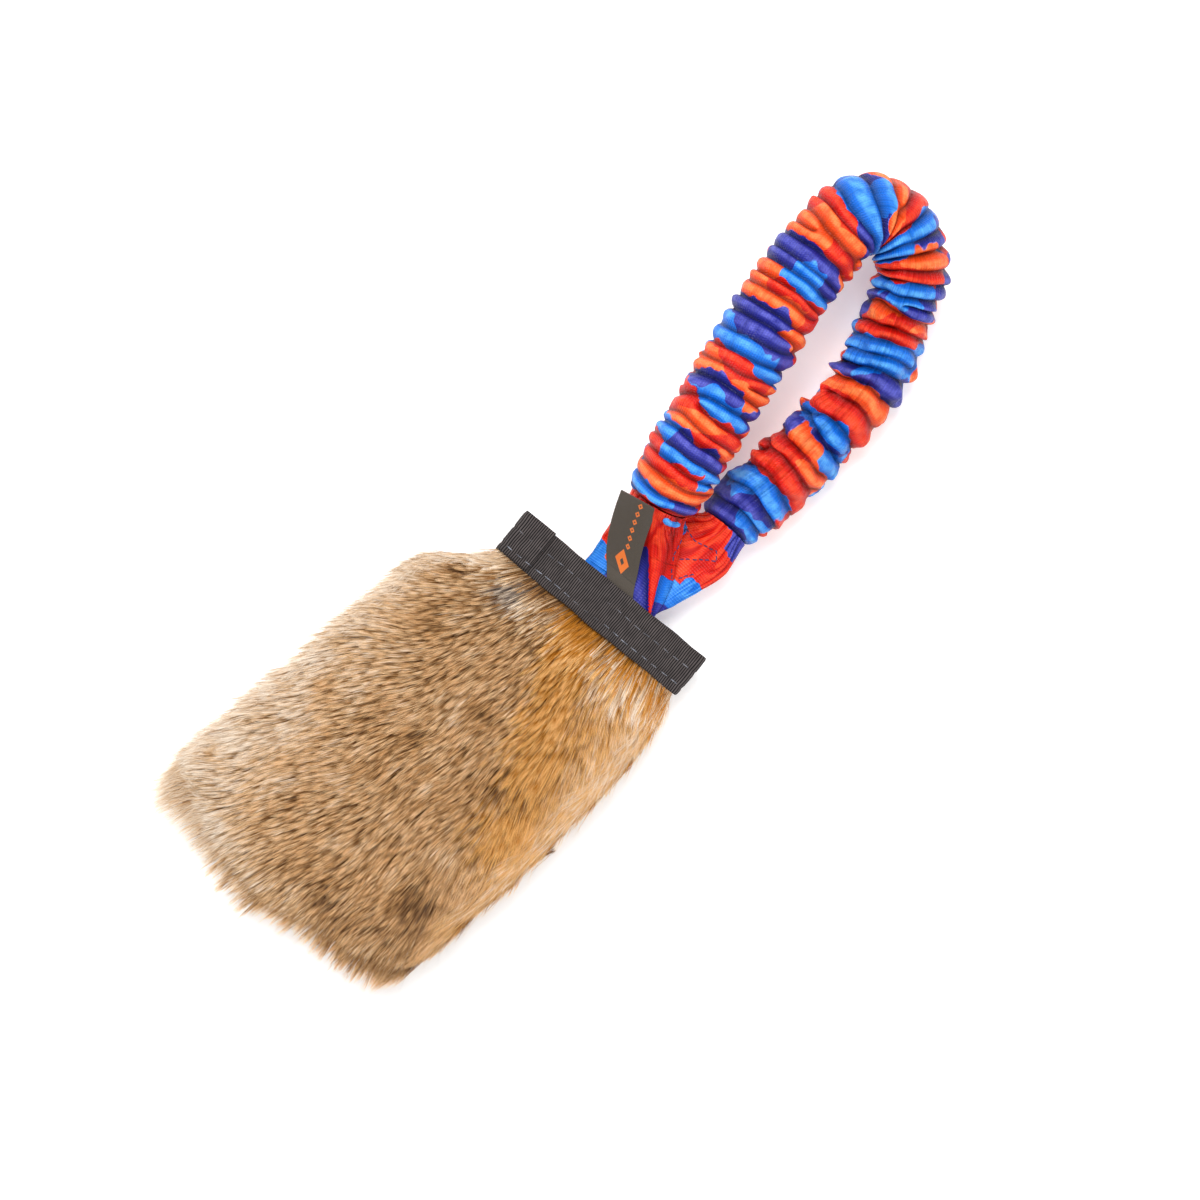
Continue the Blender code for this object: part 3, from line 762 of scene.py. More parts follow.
@dataclass(frozen=True)
class RibbedWebbing(Finish):
    """Black polyester grosgrain; the ribs are in the mesh, the yarns in the finish. The rib
    crests are painted a lighter grey as a highlight, with dust, and the grooves black as shade.

    The map "Weave" holds the strip's own millimetres, along it and across it.
    """

    name: str = "black_webbing"
    black: Colour = srgb(12, 11, 12)
    dust_and_highlight: Colour = srgb(94, 86, 85)
    rib: float = 1.0
    yarn: float = 0.42
    roughness = 0.72
    specular = 0.15
    sheen = (0.1, 0.4)

    def paint(self, bench: Bench) -> None:
        """Give the material its colour and relief.

        Args:
            bench: where the material is built.
        """
        _, along, across = bench.uv("Weave")
        crest = bench.math("ABSOLUTE", bench.wave(along, 2.0 * self.rib))
        yarn = bench.wave(across, self.yarn)
        dust = bench.noise(bench.place(), 260.0, 4.0)
        # painted highlight on the rib crests and painted shade in the grooves, varied by dust
        lit = bench.math("MULTIPLY_ADD", bench.between(dust, 0.3, 0.75), 0.35, 0.65)
        share = bench.times(bench.between(crest, 0.35, 1.0), lit)
        bench.colour(share, self.black, self.dust_and_highlight)
        bench.dent(bench.math("MULTIPLY_ADD", yarn, 0.5, dust), 0.00006)


@dataclass(frozen=True)
class Thread(Finish):
    """Twisted sewing thread in one colour, a little worn."""

    name: str
    light: Colour
    dark: Colour
    roughness = 0.6
    sheen = (0.3, 0.4)

    def paint(self, bench: Bench) -> None:
        """Give the material its colour and relief."""
        wear = bench.noise(bench.place(), 700.0, 3.0)
        bench.colour(bench.between(wear, 0.35, 0.7), self.dark, self.light)
        twist = bench.node("TexWave", {"Vector": bench.place(), "Scale": 900.0})
        bench.dent(twist.outputs["Fac"], 0.00005)


@dataclass(frozen=True)
class WovenLabel(Finish):
    """Dark woven label with a row of small plain diamonds and one large one, in orange thread.

    The map "Weave" holds the label's own millimetres, across it and along it, from its middle.
    """

    name: str = "woven_label"
    ground: Colour = srgb(84, 75, 64)
    ground_dark: Colour = srgb(58, 51, 44)
    thread: Colour = srgb(232, 116, 40)
    row_from: float = 10.6
    row_count: int = 6
    row_pitch: float = 3.1
    row_half: float = 1.15
    row_across: float = 1.6
    large_along: float = 4.4
    large_half: float = 3.6
    weft: float = 0.34
    warp: float = 0.30
    roughness = 0.62
    sheen = (0.2, 0.4)

    def paint(self, bench: Bench) -> None:
        """Give the material its colour and relief.

        Args:
            bench: where the material is built.
        """
        _, across, along = bench.uv("Weave")
        threads = bench.times(bench.wave(along, self.weft), bench.wave(across, self.warp))
        weave = bench.math("MULTIPLY_ADD", threads, 0.5, 0.5)
        ground = bench.mix(weave, self.ground_dark, self.ground)
        beside = bench.away(across, self.row_across)
        wrapped = bench.math("PINGPONG", bench.math("SUBTRACT", along, self.row_from),
                             self.row_pitch / 2.0)
        reach = bench.math("ADD", wrapped, beside)
        ring = bench.inside(reach, self.row_half * 0.36, self.row_half)
        half_row = (self.row_count - 1) * self.row_pitch / 2.0
        off = bench.away(along, self.row_from + half_row)
        in_row = bench.math("LESS_THAN", off, half_row + self.row_pitch / 2.0)
        off = bench.away(along, self.large_along)
        reach = bench.math("ADD", bench.times(off, 0.8), bench.math("ABSOLUTE", across))
        large = bench.inside(reach, self.large_half * 0.3, self.large_half)
        mark = bench.math("MAXIMUM", large, bench.times(ring, in_row))
        bench.colour(mark, ground, self.thread)
        bench.dent(bench.math("MULTIPLY_ADD", mark, 1.2, weave), 0.00007)


@dataclass(frozen=True)
class BraidedBungee(Finish):
    """The braided jacket of the elastic cord inside the sleeve."""

    name: str = "braided_bungee"
    black: Colour = srgb(40, 40, 44)
    fleck: Colour = srgb(120, 120, 126)
    roughness = 0.7

    def paint(self, bench: Bench) -> None:
        """Give the material its colour and relief.

        Args:
            bench: where the material is built.
        """
        _, turn, along = bench.uv("Knit")
        first = bench.math("SINE", bench.math("ADD", turn, along))
        second = bench.math("SINE", bench.math("SUBTRACT", turn, along))
        braid = bench.times(first, second)
        share = bench.between(braid, 0.5, 0.9)
        bench.colour(share, self.black, self.fleck)
        bench.dent(braid, 0.0002)


@dataclass(frozen=True)
class PaleFloor(Finish):
    """A matt white floor with the faintest grain, lit through from below like a light table."""

    name: str = "pale_floor"
    dull: Colour = (0.93, 0.93, 0.93)
    bright: Colour = (0.96, 0.96, 0.955)
    glow: float = 0.28
    roughness = 0.9
    specular = 0.1

    def paint(self, bench: Bench) -> None:
        """Give the material its colour and relief."""
        grain = bench.noise(bench.place(), 30.0)
        bench.colour(grain, self.dull, self.bright)
        bench.dress("Emission Color", (1.0, 1.0, 1.0, 1.0))
        bench.dress("Emission Strength", self.glow)


# Studio

@dataclass
class Studio:
    """Camera straight above the toy, turned as in the photograph, soft light and pale floor."""

    lens: float = 85.0
    sensor: float = 36.0
    aim: tuple[float, float] = (-0.0014, 0.101)
    frame_width: float = 0.504
    turn: float = 39.2
    floor_half: float = 6.0
    sky_strength: float = 0.56

    def build(self) -> None:
        """Make camera, lights, floor and sky."""
        self.camera()
        self.floor()
        self.light("key", (-0.55, 0.60, 1.6), 0.9, 27.0)
        self.light("fill", (0.9, -0.3, 1.3), 1.2, 8.0)
        self.sky()
        view = bpy.context.scene.view_settings
        view.view_transform = "Standard"
        view.look = "None"

    def camera(self) -> None:
        """Make the camera that the render uses."""
        data = bpy.data.cameras.new("camera")
        data.lens, data.sensor_width = self.lens, self.sensor
        distance = self.frame_width * self.lens / self.sensor
        camera = bpy.data.objects.new("camera", data)
        camera.location = (*self.aim, MID_HEIGHT + distance)
        camera.rotation_euler = (0.0, 0.0, math.radians(self.turn))
        bpy.context.scene.collection.objects.link(camera)
        bpy.context.scene.camera = camera

    def light(self, name: str, place: tuple[float, ...], size: float, power: float) -> None:
        """Make one square soft box that faces the toy.

        Args:
            name: its name.
            place: where it hangs.
            size: its edge.
            power: its watts.
        """
        data = bpy.data.lights.new(name, "AREA")
        data.size, data.energy = size, power
        lamp = bpy.data.objects.new(name, data)
        lamp.location = place
        facing = Vector((*self.aim, MID_HEIGHT)) - Vector(place)
        lamp.rotation_euler = facing.to_track_quat("-Z", "Y").to_euler()
        bpy.context.scene.collection.objects.link(lamp)

    def sky(self) -> None:
        """Surround the studio with even white light."""
        world = bpy.data.worlds.new("studio")
        world.use_nodes = True
        background = world.node_tree.nodes["Background"]
        background.inputs[0].default_value = (1.0, 1.0, 1.0, 1.0)
        background.inputs[1].default_value = self.sky_strength
        bpy.context.scene.world = world

    def floor(self) -> None:
        """Make the floor: a wide level grid."""
        steps = np.linspace(-1.0, 1.0, 33)
        x, y = np.meshgrid(steps * self.floor_half, steps * self.floor_half)
        points = np.stack((x, y, np.zeros_like(x)), axis=-1)
        floor = Grid("floor", points).make(PaleFloor().make())


# Band

@dataclass
class Band:
    """Ribbed webbing wrapped once round the toy's seam, with its stitches."""

    length: float = 98 * MM
    width: float = 20 * MM
    thickness: float = 1.3 * MM
    thin_stack: float = 1.65 * MM
    thick_stack: float = 3.55 * MM
    swell_from: float = -31.05 * MM
    swell_to: float = 35.05 * MM
    swell_ease: float = 14 * MM
    lap: float = 16 * MM
    ply_step: float = 1.6 * MM
    rib_pitch: float = 1 * MM
    rib_height: float = 0.30 * MM
    samples_per_rib: int = 8
    groove_depth: float = 0.32 * MM
    groove_half: float = 0.7 * MM
    face_points: int = 27
    stitch_rows: tuple[float, ...] = (94 * MM, 102.2 * MM)
    stitch_length: float = 4 * MM
    stitch_pitch: float = 5.2 * MM
    thread_radius: float = 0.21 * MM

    def half_stack(self, x: Array) -> Array:
        """Half the height inside the band: it swells where the strap lies."""
        left = ease(x, self.swell_from, self.swell_ease)
        right = ease(x, self.swell_to, -self.swell_ease)
        return self.thin_stack + (self.thick_stack - self.thin_stack) * np.minimum(left, right)

    def line(self) -> Array:
        """Return the strip's middle line in x and z, evenly spaced, from start to lapped end.

        It runs straight along the front, round the right end in a half circle, back along the
        underside, round the left end in a wider half circle and over its own start.

        Returns:
            Places of x and z, seen from the pad.
        """
        half = self.thickness / 2
        bend = self.thin_stack + half
        straight = self.length / 2 - bend - half
        lapped = straight - self.ply_step / 2
        x = np.linspace(-lapped, straight, 200)
        z = self.half_stack(x) + half
        angles = np.linspace(math.pi / 2, -math.pi / 2, 40)[1:-1]
        right = np.column_stack((straight + bend * np.cos(angles), bend * np.sin(angles)))
        under = np.column_stack((x, -z))[::-1]
        wide = bend + self.ply_step / 2
        left = np.column_stack((
            -lapped - wide * np.cos(angles), self.ply_step / 2 - wide * np.sin(angles)
        ))
        over_x = np.linspace(-lapped, -self.length / 2 + self.lap, 40)
        over = np.column_stack((over_x, self.half_stack(over_x) + half + self.ply_step))
        joined = np.vstack((np.column_stack((x, z)), right, under, left, over))
        run = run_length(joined)
        return on_line(joined, run, np.arange(0.0, run[-1], self.rib_pitch / self.samples_per_rib))

    def webbing(self) -> bpy.types.Object:
        """Make the strip: rings across its width, moved along its middle line.

        The outer face is raised by rib height x |sin(pi s / pitch)|^0.8 and sinks along the
        stitches by a bell curve. The ribs waver and the edges swing a little.

        Returns:
            The piece.
        """
        line = self.line()
        along = unit(np.gradient(line, axis=0))
        out = np.column_stack((-along[:, 1], along[:, 0]))
        s = np.arange(len(line)) * self.rib_pitch / self.samples_per_rib
        across = np.linspace(-1.0, 1.0, self.face_points)
        face = np.concatenate((np.ones(self.face_points), -np.ones(4)))
        across = np.concatenate((across, (1.0, 0.33, -0.33, -1.0)))
        rim = np.sqrt(np.clip((1.0 - np.abs(across)) * 9.0, 0.0, 1.0))
        rim = np.where(face > 0, 0.35 + 0.65 * rim, 0.9)
        grid_s, grid_v = np.meshgrid(s, across, indexing="ij")
        wobble = Ripple(3, 26 * MM).over(grid_s, grid_v * 3 * MM)
        lapped = ease(grid_s - s[-1], -self.lap * 1.05, 1 * MM)
        y = (BAND_LOWER_Y + BAND_UPPER_Y) / 2 + grid_v * self.width / 2
        y = y + 0.28 * MM * wobble + lapped * 0.9 * MM
        waver = 0.09 * MM * Ripple(5, 12 * MM).over(grid_s, y * 1.4)
        rib = np.abs(np.sin(math.pi * (grid_s + waver) / self.rib_pitch)) ** 0.8
        sunk = sum(hump(y, row, self.groove_half) for row in self.stitch_rows)
        lift = face * self.thickness / 2 * rim
        lift = lift + (face > 0) * (self.rib_height * (rib - 0.6) - self.groove_depth * sunk)
        sway = 0.35 * MM * Ripple(8, 40 * MM).over(grid_s, y)
        x = line[:, None, 0] + out[:, None, 0] * (lift + sway)
        z = MID_HEIGHT + line[:, None, 1] + out[:, None, 1] * (lift + sway)
        weave = np.stack((grid_s / MM + waver / MM, grid_v * self.width / 2 / MM), -1)
        points = np.stack((x, y, z), -1)
        ends = [points[0].mean(axis=0), points[-1].mean(axis=0)]
        shrunk = [ends[n] + (points[-n] - ends[n]) * 0.02 for n in (0, 1)]
        points = np.concatenate((shrunk[0][None], points, shrunk[1][None]))
        weave = np.concatenate((weave[:1], weave, weave[-1:]))
        grid = Grid("ribbed_webbing", points, True, {"Weave": weave}, flip=True)
        piece = grid.make(RibbedWebbing().make())
        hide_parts("webbing_band")
        return fit(piece, Body.BAND)

    def surface(self, x: Array, lapped: bool) -> Array:
        """Return the height of the webbing's outer face above the middle plane."""
        ply = self.ply_step * (x < -self.length / 2 + self.lap) if lapped else 0.0
        return self.half_stack(x) + self.thickness + ply

    def stitches(self) -> None:
        """Make the two rows of long stitches on each face; the upper row's thread is darker."""
        threads = (
            Thread("grey_thread", srgb(150, 154, 166), srgb(74, 76, 86)),
            Thread("dark_thread", srgb(122, 122, 130), srgb(62, 62, 70)),
        )
        chance = np.random.default_rng(21)
        share = np.linspace(-1.0, 1.0, 7)
        for row, thread in zip(self.stitch_rows, threads):
            lines = []
            for face in (1.0, -1.0):
                starts = np.arange(-0.455, 0.455, self.stitch_pitch / self.length) * self.length
                centres = starts + chance.normal(0.0, 0.15 * MM, len(starts))
                tilt = chance.normal(0.0, 0.035, len(starts))
                x = centres[:, None] + share * self.stitch_length / 2
                y = row + tilt[:, None] * (x - centres[:, None])
                y = y + 0.22 * MM * Ripple(31, 30 * MM).over(x, x * face)
                sunk = self.groove_depth * 0.55 + 0.42 * MM * share**4
                z = MID_HEIGHT + face * (self.surface(x, face > 0) - sunk)
                lines.append(np.stack((x, y, z), -1))
            name = f"band_stitches_{thread.name}"
            rows = np.concatenate(lines)
            piece = capped_tubes(name, rows, self.thread_radius, thread.make())
            fit(piece, Body.BAND)


# Pelts

@dataclass
class PadShape:
    """The outline and height of the fur pad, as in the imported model."""

    length: float = 183 * MM
    half_height: float = 18 * MM
    half_nose: float = 47.7 * MM
    flare_left: float = 52 * MM
    flare_right: float = 6 * MM
    rise: float = 30 * MM
    rounding: float = 34 * MM
    nose: float = 2.55 * MM
    edge: float = 2.2 * MM
    left: Rows = (
        (0.0, 0.0), (0.05, 0.24), (0.124, 0.48), (0.242, 0.60), (0.364, 0.67),
        (0.523, 0.75), (0.69, 0.86), (0.83, 0.98), (0.94, 1.0), (1.0, 0.95),
    )
    right: Rows = (
        (0.0, 0.0), (0.06, 0.5), (0.167, 1.0), (0.33, 0.8), (0.483, 0.4),
        (0.635, 0.0), (0.806, -0.9), (0.93, -1.1), (1.0, -2.0),
    )
    foot: Rows = (
        (-1.0, 0.855), (-0.85, 0.90), (-0.55, 0.955), (-0.33, 0.98), (-0.04, 1.0),
        (0.33, 0.965), (0.63, 0.955), (0.88, 0.92), (1.0, 0.845),
    )

    def edges(self, share: Array) -> tuple[Array, Array]:
        """Return the left and right edge at a share of the way down."""
        left = -self.half_nose - self.flare_left * table(self.left, share)
        right = self.half_nose + self.flare_right * table(self.right, share)
        return left, right

    def to_plane(self, across: Array, share: Array) -> tuple[Array, Array]:
        """Return x and y of a place on the pad given by its shares."""
        left, right = self.edges(share)
        x = left + (right - left) * (across + 1.0) / 2.0
        return x, PAD_AXIS_Y - self.length * share * table(self.foot, across)

    def to_shares(self, x: Array, y: Array) -> tuple[Array, Array]:
        """Return the shares of a place given by x and y, found in three rounds.

        Args:
            x, y: places in the plane.

        Returns:
            Share across, -1 to 1, and share of the way down, 0 to 1.
        """
        down = (PAD_AXIS_Y - y) / self.length
        share, across = down, np.zeros_like(down)
        for _ in range(3):
            left, right = self.edges(share)
            across = 2.0 * (x - left) / (right - left) - 1.0
            share = down / table(self.foot, np.clip(across, -1.0, 1.0))
        return across, share

    def height(self, across: Array, share: Array) -> Array:
        """Height of the fur above the pad's middle plane.

        It rises from the seam by a smooth step, falls to the lower edge by a root curve and
        is crowned across by (1 - |a|^3.4)^(1/3.4).

        Args:
            across: share across, -1 to 1.
            share: share of the way down, 0 to 1.

        Returns:
            The height at the places.
        """
        down = np.clip(share, 0.0, 1.0) * self.length
        full = self.nose + (self.half_height - self.nose) * ease(down, 0.0, self.rise)
        near = np.clip((down - self.length * 0.97 + self.rounding) / self.rounding, 0.0, 1.0)
        full = np.maximum(self.edge, full * np.sqrt(1.0 - near**2.4))
        crown = np.clip(1.0 - np.abs(across) ** 3.4, 0.0, 1.0) ** (1.0 / 3.4)
        return self.edge * 0.5 + (full - self.edge * 0.5) * crown


@dataclass
class Pelt:
    """One rabbit pelt: its hide, its undercoat and its hairs.

    Each hair is a narrow ribbon on a curve through its root, a bowed middle and a tip. The tip
    lies down the flow of the fur at the pad's outer height, drawn to the tip of its lock, and
    locks are drawn together in the same way. At the rim more than half of the tips fall over
    the seam, down to the middle plane.
    """

    name: str
    side: float
    shape: PadShape
    pieces: int
    seed: int
    hairs_per_piece: int = 38000
    core_share: float = 0.46
    hair_length: float = 16 * MM
    hair_width: float = 0.155 * MM
    lock_size: float = 1.05 * MM
    tuft_size: float = 4.2 * MM
    collar_y: float = 76 * MM
    roots_low: tuple[float, float] = (-101 * MM, -97 * MM)
    roots_high: tuple[float, float] = (54 * MM, 92.5 * MM)
    cells_per_hair: float = 1.46
    hair_turn: float = math.radians(9)
    hide_narrow: float = 0.82
    hide_half: float = 44.5 * MM
    hide_thickness: float = 0.9 * MM
    wool_narrow: float = 0.88
    wool_base: float = 1.4 * MM

    def core_height(self, across: Array, share: Array) -> Array:
        """Height of the undercoat above the middle plane."""
        return self.shape.height(across, share) * self.core_share

    def hide(self) -> None:
        """Make the hide: a thin sheet at the pad's middle, from inside the band to its foot."""
        across, share = np.meshgrid(np.linspace(-1, 1, 61), np.linspace(-0.1, 0.95, 90))
        narrow = self.hide_narrow + 0.02 * (across < 0) * ease(share, 0.0, 0.25)
        x, y = self.shape.to_plane(across * narrow, np.maximum(share, 0.0))
        y = y - np.minimum(share, 0.0) * 150 * MM
        x = np.where(y > PAD_AXIS_Y, np.clip(x, -self.hide_half, self.hide_half), x)
        sway = Ripple(self.seed + 1, 30 * MM).over(x, y)
        depth = self.hide_thickness + 0.25 * MM * sway
        points = np.stack((x, y, MID_HEIGHT + self.side * depth), -1)
        piece = Grid(self.name + "_hide", points, flip=self.side > 0).make(TannedHide().make())
        thicken(piece, self.hide_thickness)
        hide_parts(self.name + "_hide_edge")
        fit(piece, HIDE_FOLD)

    def undercoat(self) -> None:
        """Make the undercoat: a crowned closed form with a woolly, uneven face."""
        turn = np.linspace(-1.0, 1.0, 121)
        share = np.concatenate(((0.0,), np.linspace(0.004, 0.905, 150), (0.912,)))
        across, share = np.meshgrid(np.sin(turn * math.pi / 2) * 0.90, share)
        narrow = self.wool_narrow + 0.04 * (across < 0) * ease(share, 0.0, 0.25)
        x, y = self.shape.to_plane(across * narrow, share)
        bumps = Ripple(self.seed + 2, 7 * MM).over(x, y)
        fine = Ripple(self.seed + 3, 2.2 * MM).over(x, y)
        height = self.core_height(across, share) + (0.7 * bumps + 0.3 * fine) * MM
        height = np.maximum(height, 1.6 * MM)
        height[0] = height[-1] = self.wool_base
        height[:, 0] = height[:, -1] = 1.5 * MM
        top = np.stack((x, y, MID_HEIGHT + self.side * height), -1)
        flat = top.copy()
        flat[..., 2] = MID_HEIGHT + self.side * self.wool_base
        points = np.concatenate((top, flat[:, ::-1]), axis=1)
        grid = Grid(self.name + "_undercoat", points, True, flip=self.side > 0)
        piece = grid.make(Undercoat().make())
        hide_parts(self.name + "_pelt")
        fit(piece, Body.PAD)

    def flow(self, x: Array, y: Array) -> Array:
        """Return the direction in which the hairs lie, as angles from -Y toward +X.

        Args:
            x, y: places in the plane.

        Returns:
            The angles in radians.
        """
        left, right = ease(x, 25 * MM, -95 * MM), ease(x, 5 * MM, 35 * MM)
        high, upper = ease(y, -92 * MM, 60 * MM), ease(y, 10 * MM, 60 * MM)
        fan = -math.radians(38) * left * (0.3 + 0.7 * high) + math.radians(24) * right
        fan += math.radians(9) * right * upper
        fan -= math.radians(20) * upper * ease(x, -20 * MM, -30 * MM)
        sway = Ripple(self.seed + 4, 40 * MM).over(x, y)
        return fan - math.radians(4) + math.radians(8) * sway

    def locks(self, x: Array, y: Array, size: float, seed: int) -> tuple[Array, ...]:
        """Return each root's lock: its middle in x and y, its number, and how far off it is.

        The middles stand on a jittered grid, and a root joins the nearest of its nine.

        Args:
            x, y: the roots.
            size: width of a lock.
            seed: seed of its jitter.

        Returns:
            x, y and number of the lock, and the distance over its size.
        """
        warp = 0.35 * size
        wx = x + warp * Ripple(seed + 1, size * 3).over(x, y)
        wy = y + warp * Ripple(seed + 2, size * 3).over(x, y)
        column, row = np.floor(wx / size), np.floor(wy / (size * 1.5))
        best = np.full(x.shape, np.inf)
        found = [np.zeros_like(x), np.zeros_like(x), np.zeros(x.shape, np.int64)]
        for a in (-1, 0, 1):
            for b in (-1, 0, 1):
                c, r = column + a, row + b
                mixed = (c.astype(np.int64) * CELL_MIX[0]) ^ (r.astype(np.int64) * CELL_MIX[1])
                number = mixed % CHANCE_POOL
                jitter = self.chances(number, seed)
                cx = (c + 0.5 + 0.8 * (jitter[0] - 0.5)) * size
                cy = (r + 0.5 + 0.8 * (jitter[1] - 0.5)) * size * 1.5
                away = (wx - cx) ** 2 + ((wy - cy) / 1.5) ** 2
                near = away < best
                best = np.where(near, away, best)
                for slot, value in enumerate((cx, cy, number)):
                    found[slot] = np.where(near, value, found[slot])
        return (*found, np.sqrt(best) / size)

    @staticmethod
    def chances(number: Array, seed: int) -> Array:
        """Return four chance values from 0 to 1 for each number, the same each time."""
        return np.random.default_rng(seed).uniform(size=(4, CHANCE_POOL))[:, number]

    def roots(self, count: int, seed: int) -> Array:
        """Scatter roots evenly over the pelt: one in each cell of a fine grid, shuffled.

        Args:
            count: how many at most.
            seed: seed of the scatter.

        Returns:
            x and y of the roots.
        """
        chance = np.random.default_rng(seed)
        low = np.array(self.roots_low)
        size = np.array(self.roots_high) - low
        cell = math.sqrt(size[0] * size[1] / (count * self.cells_per_hair))
        columns, rows = int(size[0] / cell), int(size[1] / cell)
        c, r = np.meshgrid(np.arange(columns), np.arange(rows))
        cells = np.column_stack((c.ravel(), r.ravel()))
        spots = low + (cells + chance.uniform(size=cells.shape)) / (columns, rows) * size
        across, share = self.shape.to_shares(*spots.T)
        ragged = 0.02 * Ripple(self.seed + 6, 9 * MM).at(spots)
        left = 0.90 + 0.08 * ease(spots[:, 1], 40 * MM, 30 * MM)
        keep = (across > ragged - left) & (across < 0.97 + ragged) & (share < 0.91 + ragged)
        inside = np.abs(spots[:, 0]) < self.shape.half_nose - 0.5 * MM
        keep &= (spots[:, 1] < PAD_AXIS_Y) | inside
        spots = spots[keep]
        chance.shuffle(spots)
        return spots[:count].T

    def kinds(self, x: Array, y: Array, tuft: Array, lock: Array, off: Array,
              own: Array) -> Array:
        """Return the place on the fur's colour map for each hair.

        A hair's tone runs from dark over brown and tan to cream. It is chance about a mean
        that falls from the left edge to the middle, swings in patches, and is lighter in the
        middle of a lock than at its rim, which is painted shade between the locks. A gold
        stripe runs down the right, buff beyond it.

        Args:
            x, y: the hair's root.
            tuft, lock: chance values that the hairs of a tuft or lock share.
            off: how far the root is from its lock's middle, over the lock's size.
            own: the hair's own chance value.

        Returns:
            Places from 0 to 1.
        """
        broad = Ripple(self.seed + 7, 52 * MM).over(x, y)
        patch = Ripple(self.seed + 8, 15 * MM).over(x, y)
        tone = table(FUR_TONES, x / MM) + 0.16 * broad + 0.26 * patch
        stripe = table(GOLD_STRIPE, y / MM) * MM
        gold = hump(x, stripe, 13 * MM) * ease(y, -25 * MM, 40 * MM)
        gold = np.maximum(gold, 0.55 * ease(x, stripe, 8 * MM))
        buff = ease(x - stripe, 8 * MM, 14 * MM) * ease(y, -40 * MM, 70 * MM)
        dark = np.zeros_like(x)
        for cx, cy, radius in FUR_SHADOWS:
            away = np.hypot(x - cx * MM, y - cy * MM) / (radius * MM)
            dark = np.maximum(dark, 1.0 - smooth_step(away))
        grey = bell(x, y, GREY_SPOT)
        low_left = ease(y, -50 * MM, -30 * MM) * ease(x, -45 * MM, -15 * MM)
        across, share = self.shape.to_shares(x, y)
        rim = ease(-across, 0.72, 0.2)
        rim = np.maximum(rim, 0.8 * ease(share, 0.78, 0.12))
        rim = np.maximum(rim, 0.6 * ease(across, 0.82, 0.1))
        collar = ease(y, 76 * MM, 12 * MM)
        low_right = ease(y, -20 * MM, -40 * MM) * ease(x, -5 * MM, 20 * MM)
        tone += 0.7 * buff - 1.0 * dark + 0.2 * low_left + 0.9 * rim + 0.8 * collar
        tone -= 0.35 * low_right + 0.22 * gold * (y < 40 * MM)
        tone += 0.5 * (tuft[2] - 0.5) + 1.0 * (lock[2] - 0.5) + 1.15 * (own - 0.5)
        # painted shade: hairs toward a lock's rim are darker, as in the shade between locks
        tone += 0.50 - 1.5 * off
        kind = np.clip(np.round(tone), 0, 3).astype(int)
        within = np.clip(0.5 + 0.42 * (tone - kind), 0.04, 0.96)
        golden = (gold > 0.55 * lock[3] + 0.35 * own + 0.05) & (tone > 0.55)
        kind = np.where(golden, 4, kind)
        kind = np.where(grey > 0.25 + 0.6 * own, 5, kind)
        within = np.where(kind > 3, np.clip(0.5 + 0.4 * (tone - 1.4), 0.04, 0.96), within)
        return (kind + within) / len(FurKind)

    def hairs(self, part: int) -> tuple[Array, Array, Array]:
        """Work out one part of the coat.

        Args:
            part: number of the part.

        Returns:
            The hairs' four curve points, their ribbon directions, and for each hair its colour
            place and how much paler its root is.
        """
        seed = self.seed * 100 + part * 10
        x, y = self.roots(self.hairs_per_piece, seed)
        own = np.random.default_rng(seed + 1).uniform(size=(6, len(x)))
        lx, ly, lock_number, off = self.locks(x, y, self.lock_size, self.seed + 11)
        tx, ty, tuft_number, _ = self.locks(lx, ly, self.tuft_size, self.seed + 14)
        lock = self.chances(lock_number, self.seed + 17)
        tuft = self.chances(tuft_number, self.seed + 18)
        across, share = self.shape.to_shares(x, y)
        near_band = 1.0 - ease(y, 86 * MM, -18 * MM)
        wisp = bell(x, y, WISP_SPOT)
        fine = ease(x, 5 * MM, 30 * MM)
        shared_reach = self.hair_length * (0.80 + 0.34 * lock[0] + 0.12 * tuft[0])
        shared_reach *= (1.0 - 0.15 * near_band) * (1.0 + 0.7 * wisp) * (1.0 + 0.2 * fine)
        stray = self.stray(own)
        reach = shared_reach * (0.86 + 0.28 * own[0]) * (1.0 + 0.25 * stray)
        tip = self.tip(x, y, reach, self.hair_turn * (own[1] - 0.5) * 2)
        lock_tip = self.tip(lx, ly, shared_reach, 2.2 * self.hair_turn * (lock[1] - 0.5))
        tuft_tip = self.tip(tx, ty, shared_reach, 2.0 * self.hair_turn * (tuft[1] - 0.5))
        lock_tip += 0.16 * (tuft_tip - lock_tip)
        draw = (0.80 - 0.3 * fine) * (0.8 + 0.25 * own[2]) * (1.0 - 0.7 * stray)
        tip += draw[:, None] * (lock_tip - tip)
        tip = self.held(tip, lock, tuft, own, wisp)
        tip_across, tip_share = self.shape.to_shares(*tip.T)
        level = 0.75 + 0.26 * lock[2] + 0.12 * tuft[3] + 0.10 * (own[3] - 0.5) - 0.10 * off
        outer = self.shape.height(np.clip(tip_across, -1, 1), np.minimum(tip_share, 1.0))
        core = self.core_height(np.clip(across, -1, 1), share)
        edge = ease(np.maximum(np.abs(tip_across), tip_share), 0.82, 0.13)
        fall = edge * ease(own[2], 0.35, 0.40)
        tip_rise = np.maximum(outer * level, core * 0.6) * (1.0 - 0.97 * fall)
        middle = 0.5 * (np.column_stack((x, y)) + tip)
        own_top = self.shape.height(np.clip(across, -1, 1), share)
        middle_rise = 0.40 * core + 0.60 * np.maximum(own_top, outer) * (0.84 + 0.2 * lock[3])
        middle_rise += near_band * (2.2 + 2.4 * lock[0]) * MM
        inward = 1.0 - 0.9 * ease(np.maximum(np.abs(across), share), 0.74, 0.18)
        root_rise = np.where(y > 87.5 * MM, (0.3 + 1.2 * own[4]) * MM, core * 0.8 * inward)
        root = self.raised(np.column_stack((x, y)), root_rise)
        bow = self.raised(middle, middle_rise)
        end = self.raised(tip, tip_rise)
        t = np.array(HAIR_STEPS)[None, :, None]
